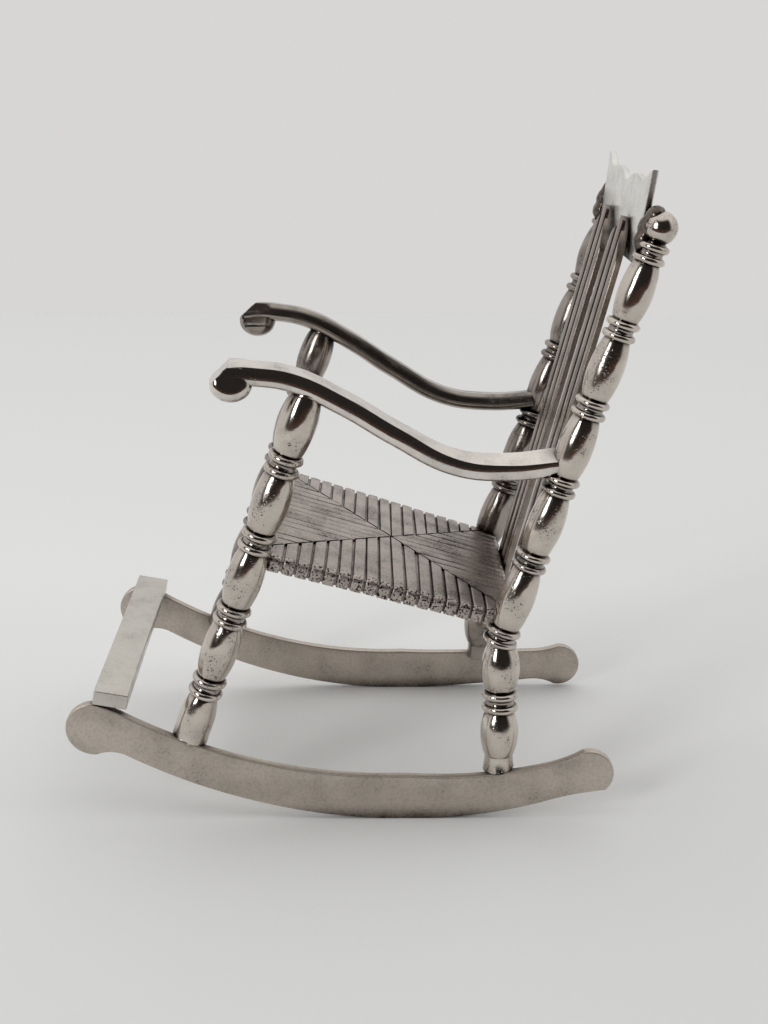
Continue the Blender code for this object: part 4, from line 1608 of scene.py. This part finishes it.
@dataclass
class Back:
    """Two reeded slats with pointed tops, and the crest plate between the posts' balls."""

    stance: Stance
    posts: Posts
    slat_width: float = 7.0 * MM
    slat_thickness: float = 0.8 * MM
    slat_centre: float = 5.4 * MM
    slat_lap: float = 3.9 * MM
    slat_arch: float = 5.2 * MM
    reeds: int = 3
    reed_half: float = 0.78 * MM
    reed_dome: float = 0.26 * MM
    flute_depth: float = 0.5 * MM
    reed_steps: int = 112
    arch_steps: int = 24
    gap: float = 0.1 * MM
    crest_lean: float = math.radians(12.0)
    crest_thickness: float = 0.75 * MM
    crest_foot: float = 64.8 * MM
    crest_forward: float = 1.0 * MM
    crest_height: float = 9.6 * MM
    crest_inset: float = 1.4 * MM
    ear_inset: float = 1.0 * MM
    ear_height: float = 3.2 * MM
    notch: float = 2.2 * MM
    scallop: float = 0.55 * MM
    scallop_steps: int = 14
    waist_share: float = 0.58
    shoulder_share: float = 0.9
    edge: float = 0.2 * MM
    lumps: tuple[tuple[tuple[float, float, float], tuple[float, float, float]], ...] = (
        ((-0.2 * MM, -0.75 * MM, 0.95 * MM), (1.2 * MM, 1.05 * MM, 1.05 * MM)),
        ((-0.3 * MM, -0.95 * MM, -0.3 * MM), (1.25 * MM, 1.15 * MM, 1.4 * MM)),
        ((-0.35 * MM, -1.05 * MM, -1.75 * MM), (1.2 * MM, 1.0 * MM, 1.2 * MM)),
    )
    lump_segments: int = 40
    lump_rings: int = 24
    run_size: float = 0.11 * MM
    run_passes: int = 24
    run_softness: float = 0.5
    run_wave_size: float = 0.8 * MM
    run_wave_depth: float = 0.15 * MM

    def crest_front(self, height: float) -> float:
        """The crest's front face, as a Y of the chair frame."""
        foot_y = self.stance.rear_post_y - self.crest_forward
        return foot_y - (height - self.crest_foot) * math.tan(self.crest_lean)

    def reeded(self) -> Outline:
        """Section of a slat: flat behind, round reeds with sunk flutes between them in front.

        Returns:
            Its corners.
        """
        half = self.slat_width / 2
        spacing = (self.slat_width - 2 * self.reed_half) / (self.reeds - 1)
        front = []
        for index in range(self.reed_steps + 1):
            x = half - self.slat_width * index / self.reed_steps
            off = min(abs(x - (place - (self.reeds - 1) / 2) * spacing) for place in range(self.reeds))
            cut = self.flute_depth
            if off < self.reed_half:
                cut = self.reed_dome * (1.0 - math.sqrt(1.0 - (off / self.reed_half) ** 2))
            front.append((x, self.slat_thickness / 2 - cut))
        return [(-half, -self.slat_thickness / 2), (half, -self.slat_thickness / 2), *front]

    def arch(self, length: float) -> Outline:
        """Face outline of a slat with a pointed arch on top.

        Args:
            length: The slat's length.

        Returns:
            Its corners.
        """
        half = self.slat_width / 2
        rise = self.slat_arch
        radius = (half * half + rise * rise) / (2 * half)
        spring = length - rise
        right = []
        for index in range(self.arch_steps + 1):
            angle = math.asin(min(1.0, rise / radius)) * index / self.arch_steps
            right.append((half - radius + radius * math.cos(angle), spring + radius * math.sin(angle)))
        left = [(-x, y) for x, y in reversed(right[:-1])]
        return [(-half, 0.0), (half, 0.0), *right, *left]

    def build_slats(self) -> None:
        """Make both slats, from the seat's rear edge to the crest's front face."""
        stance = self.stance
        foot = stance.seat_rear - stance.seat_thickness
        foot_y = stance.seat_plan()[3] + self.gap
        top = self.crest_foot + self.slat_lap
        top_y = self.crest_front(top) - self.gap - self.slat_thickness
        lean = math.atan2(foot_y - top_y, top - foot)
        length = (top - foot) / math.cos(lean)
        for side in Side:
            name = "back_slat_" + side.word
            strip = plate(name + "_reeding", self.reeded(), 2 * length, SHARP)
            settle(strip, Matrix.Rotation(-math.pi / 2, 4, "X"))
            face = plate(name + "_face", self.arch(length), 4 * self.slat_thickness, SHARP)
            combine(strip, face, "INTERSECT")
            settle(strip, Matrix.Rotation(math.pi, 4, "Y"))
            turn = Matrix.Rotation(math.pi / 2 + lean, 4, "X")
            centre = Vector((side.value * self.slat_centre, foot_y, foot))
            inset = turn.to_3x3() @ Vector((0.0, 0.0, self.slat_thickness / 2))
            settle(strip, stance.chair @ Matrix.Translation(centre - inset) @ turn)
            present(strip, REEDED_SHEET, name)

    def crest_outline(self) -> Outline:
        """Crest plate: a notch in the middle, a scallop to each side of it, an ear at each end.

        Returns:
            Its corners.
        """
        half_width = self.stance.rear_half - self.crest_inset
        ear_half = self.stance.rear_half - self.ear_inset
        neck = self.crest_height - self.ear_height
        half = [(half_width, 0.0), (half_width, neck), (ear_half, self.crest_height)]
        waist_x, shoulder_x = self.waist_share * half_width, self.shoulder_share * half_width
        shoulder, waist = self.crest_height - self.scallop, self.crest_height - 2 * self.scallop
        valley = self.crest_height - self.notch
        runs = (
            (shoulder_x, waist_x, shoulder, waist, -1.0),
            (waist_x, 0.0, waist, valley, 1.0),
        )
        for outer, inner, level_out, level_in, sign in runs:
            for index in range(self.scallop_steps):
                part = index / self.scallop_steps
                bulge = sign * self.scallop * math.sin(math.pi * part)
                level = level_out + (level_in - level_out) * part
                half.append((outer + (inner - outer) * part, level + bulge))
        return [*half, (0.0, valley), *((-x, y) for x, y in reversed(half))]

    def build_crest(self) -> None:
        """Make the crest plate, leaning forward from the posts."""
        stance = self.stance
        crest = plate("crest_plate", self.crest_outline(), self.crest_thickness, self.edge)
        half = self.crest_thickness / 2
        foot_y = stance.rear_post_y - self.crest_forward + half * math.cos(self.crest_lean)
        foot = self.crest_foot + half * math.sin(self.crest_lean)
        turn = Matrix.Rotation(math.pi / 2 + self.crest_lean, 4, "X")
        settle(crest, stance.chair @ Matrix.Translation((0.0, foot_y, foot)) @ turn)
        present(crest, BRUSHED_SHEET, "crest")

    def build_solder(self) -> None:
        """Run solder between the crest's ends and the balls of the rear posts."""
        stance = self.stance
        rise = self.posts.ball_height
        for side in Side:
            ball = Vector((
                side.value * stance.rear_half,
                stance.rear_post_y - rise * math.sin(self.posts.rake),
                stance.bend_height + rise,
            ))
            drops = []
            for (across, along, up), half in self.lumps:
                place = Matrix.Translation(ball + Vector((side.value * across, along, up)))
                drops.append(solid(
                    bpy.ops.mesh.primitive_uv_sphere_add, "crest_solder_" + side.word,
                    place @ Matrix.Diagonal((*half, 1.0)),
                    segments=self.lump_segments, ring_count=self.lump_rings, radius=1.0,
                ))
            run = drops[0]
            for drop in drops[1:]:
                combine(run, drop, "UNION")
            apply_modifier(run, "REMESH", mode="VOXEL", voxel_size=self.run_size)
            apply_modifier(run, "SMOOTH", factor=self.run_softness, iterations=self.run_passes)
            hand_worked(run, self.run_wave_size, self.run_wave_depth)
            settle(run, stance.chair)
            present(run, RUN_SOLDER, "crest", extra=True)


@dataclass
class Studio:
    """The pale floor, the light round it, the lamp and the camera.

    Azimuths are measured in plan from +X, which is the camera's side, towards +Y.
    """

    # Floor tones are painted shade: darker near the camera, brighter far from it
    floor_shaded_tone: str = "#E9EAEA"
    floor_lit_far_tone: str = "#FAFBFB"
    floor_x: Span = (-0.29, 0.165)
    floor_shade_fade: Span = (0.09, -0.06)
    floor_half: float = 1.5
    floor_drop: float = 0.02 * MM
    backdrop: str = "#D7D6D5"
    overhead: str = "#F4F3F1"
    dark_side: str = "#2B2827"
    dark_low: str = "#49372F"
    overhead_span: Span = (math.radians(4.0), math.radians(50.0))
    dark_left: Span = (math.radians(-80.0), math.radians(-60.0))
    dark_right: Span = (math.radians(76.0), math.radians(50.0))
    dark_top: Span = (math.radians(62.0), math.radians(46.0))
    low_span: Span = (math.radians(2.0), math.radians(-9.0))
    lamp_azimuth: float = math.radians(-43.0)
    lamp_distance: float = 0.5
    lamp_size: Span = (0.14, 0.3)
    lamp_rise: float = 0.26
    lamp_power: float = 0.95
    camera_place: tuple[float, float, float] = (0.15456, 0.00214, 0.08205)
    camera_turn: tuple[float, float, float] = (math.radians(71.47), 0.0, math.radians(89.675))
    focal_pixels: float = 1400.9
    frame_height: int = 1024
    sensor: float = 36.0
    near_clip: float = 0.01

    def stage(self) -> None:
        """Lay the floor, which ends below the camera."""
        rear, front = self.floor_x
        size = Matrix.Diagonal((front - rear, 2 * self.floor_half, 1.0, 1.0))
        place = Matrix.Translation(((rear + front) / 2, 0.0, -self.floor_drop))
        floor = solid(bpy.ops.mesh.primitive_plane_add, "floor", place @ size, size=1.0)
        floor.data.materials.append(self.paper())

    def paper(self) -> bpy.types.Material:
        """Matt white paper with painted shade: darker towards the camera, a little brighter far from it.

        Returns:
            The material.
        """
        material = new_material("matt_white_paper")
        tree = material.node_tree
        place = add_node(tree, "TexCoord", {}).outputs["Object"]
        x = add_node(tree, "SeparateXYZ", {0: place}).outputs["X"]
        # Painted shade: the paper darkens towards the camera
        lit_share = add_node(tree, "MapRange", {
            "Value": x, "From Min": self.floor_shade_fade[0], "From Max": self.floor_shade_fade[1],
        }).outputs["Result"]
        colour = add_node(tree, "Mix", {
            "data_type": "RGBA", 0: lit_share, 6: linear(self.floor_shaded_tone), 7: linear(self.floor_lit_far_tone),
        }).outputs[2]
        shader = add_node(tree, "BsdfDiffuse", {"Color": colour}).outputs["BSDF"]
        add_node(tree, "OutputMaterial", {"Surface": shader})
        return material

    def light(self) -> None:
        """Light the set: pale all round, dark on the camera's side, with one tall lamp."""
        world = bpy.data.worlds.new("studio")
        bpy.context.scene.world = world
        world.use_nodes = True
        tree = world.node_tree
        tree.nodes.clear()
        place = add_node(tree, "TexCoord", {}).outputs["Generated"]
        parts = add_node(tree, "SeparateXYZ", {0: place}).outputs
        azimuth = add_node(tree, "Math", {
            "operation": "ARCTAN2", 0: parts["Y"], 1: parts["X"],
        }).outputs["Value"]
        elevation = add_node(tree, "Math", {"operation": "ARCSINE", 0: parts["Z"]}).outputs["Value"]
        steps = []
        for angle, (start, stop) in (
            (azimuth, self.dark_left),
            (azimuth, self.dark_right),
            (elevation, self.dark_top),
            (elevation, self.overhead_span),
            (elevation, self.low_span),
        ):
            steps.append(add_node(tree, "MapRange", {
                "interpolation_type": "SMOOTHSTEP", "Value": angle, "From Min": start, "From Max": stop,
            }).outputs["Result"])
        dark, right, top, rising, sinking = steps
        for side in (right, top):
            dark = add_node(tree, "Math", {"operation": "MULTIPLY", 0: dark, 1: side}).outputs["Value"]
        pale = add_node(tree, "Mix", {
            "data_type": "RGBA", 0: rising, 6: linear(self.backdrop), 7: linear(self.overhead),
        }).outputs[2]
        near = add_node(tree, "Mix", {
            "data_type": "RGBA", 0: sinking, 6: linear(self.dark_side), 7: linear(self.dark_low),
        }).outputs[2]
        around = add_node(tree, "Mix", {"data_type": "RGBA", 0: dark, 6: pale, 7: near}).outputs[2]
        background = add_node(tree, "Background", {"Color": around}).outputs["Background"]
        add_node(tree, "OutputWorld", {"Surface": background})
        data = bpy.data.lights.new("lamp", "AREA")
        data.shape = "RECTANGLE"
        data.size, data.size_y = self.lamp_size
        data.energy = self.lamp_power
        lamp = new_object("lamp", data)
        level = Vector((math.cos(self.lamp_azimuth), math.sin(self.lamp_azimuth), 0.0))
        lamp.location = level * self.lamp_distance + Vector((0.0, 0.0, self.lamp_rise))
        lamp.rotation_euler = level.to_track_quat("Z", "Y").to_euler()

    def shoot(self) -> None:
        """Set up the camera at the photograph's viewpoint."""
        data = bpy.data.cameras.new("camera")
        data.sensor_width = self.sensor
        data.lens = self.focal_pixels * self.sensor / self.frame_height
        data.clip_start = self.near_clip
        camera = new_object("camera", data)
        camera.location = self.camera_place
        camera.rotation_euler = self.camera_turn
        bpy.context.scene.camera = camera
        bpy.context.scene.view_settings.view_transform = "Standard"


def main() -> None:
    """Build the chair and its set."""
    logging.basicConfig(level=logging.INFO)
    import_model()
    rockers = Rockers()
    low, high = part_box("foot_bar")
    stance = Stance(rockers, (Vector(low) + Vector(high)) / 2 - rockers.bar_centre())
    studio = Studio()
    studio.shoot()
    studio.stage()
    studio.light()
    rockers.build(stance.stand)
    arms = Arms(stance)
    posts = Posts(stance)
    for side in Side:
        posts.build_front(side, *arms.underside())
        posts.build_rear(side)
    arms.build()
    RushSeat(stance).build()
    back = Back(stance, posts)
    back.build_slats()
    back.build_crest()
    back.build_solder()


if __name__ == "__main__":
    main()
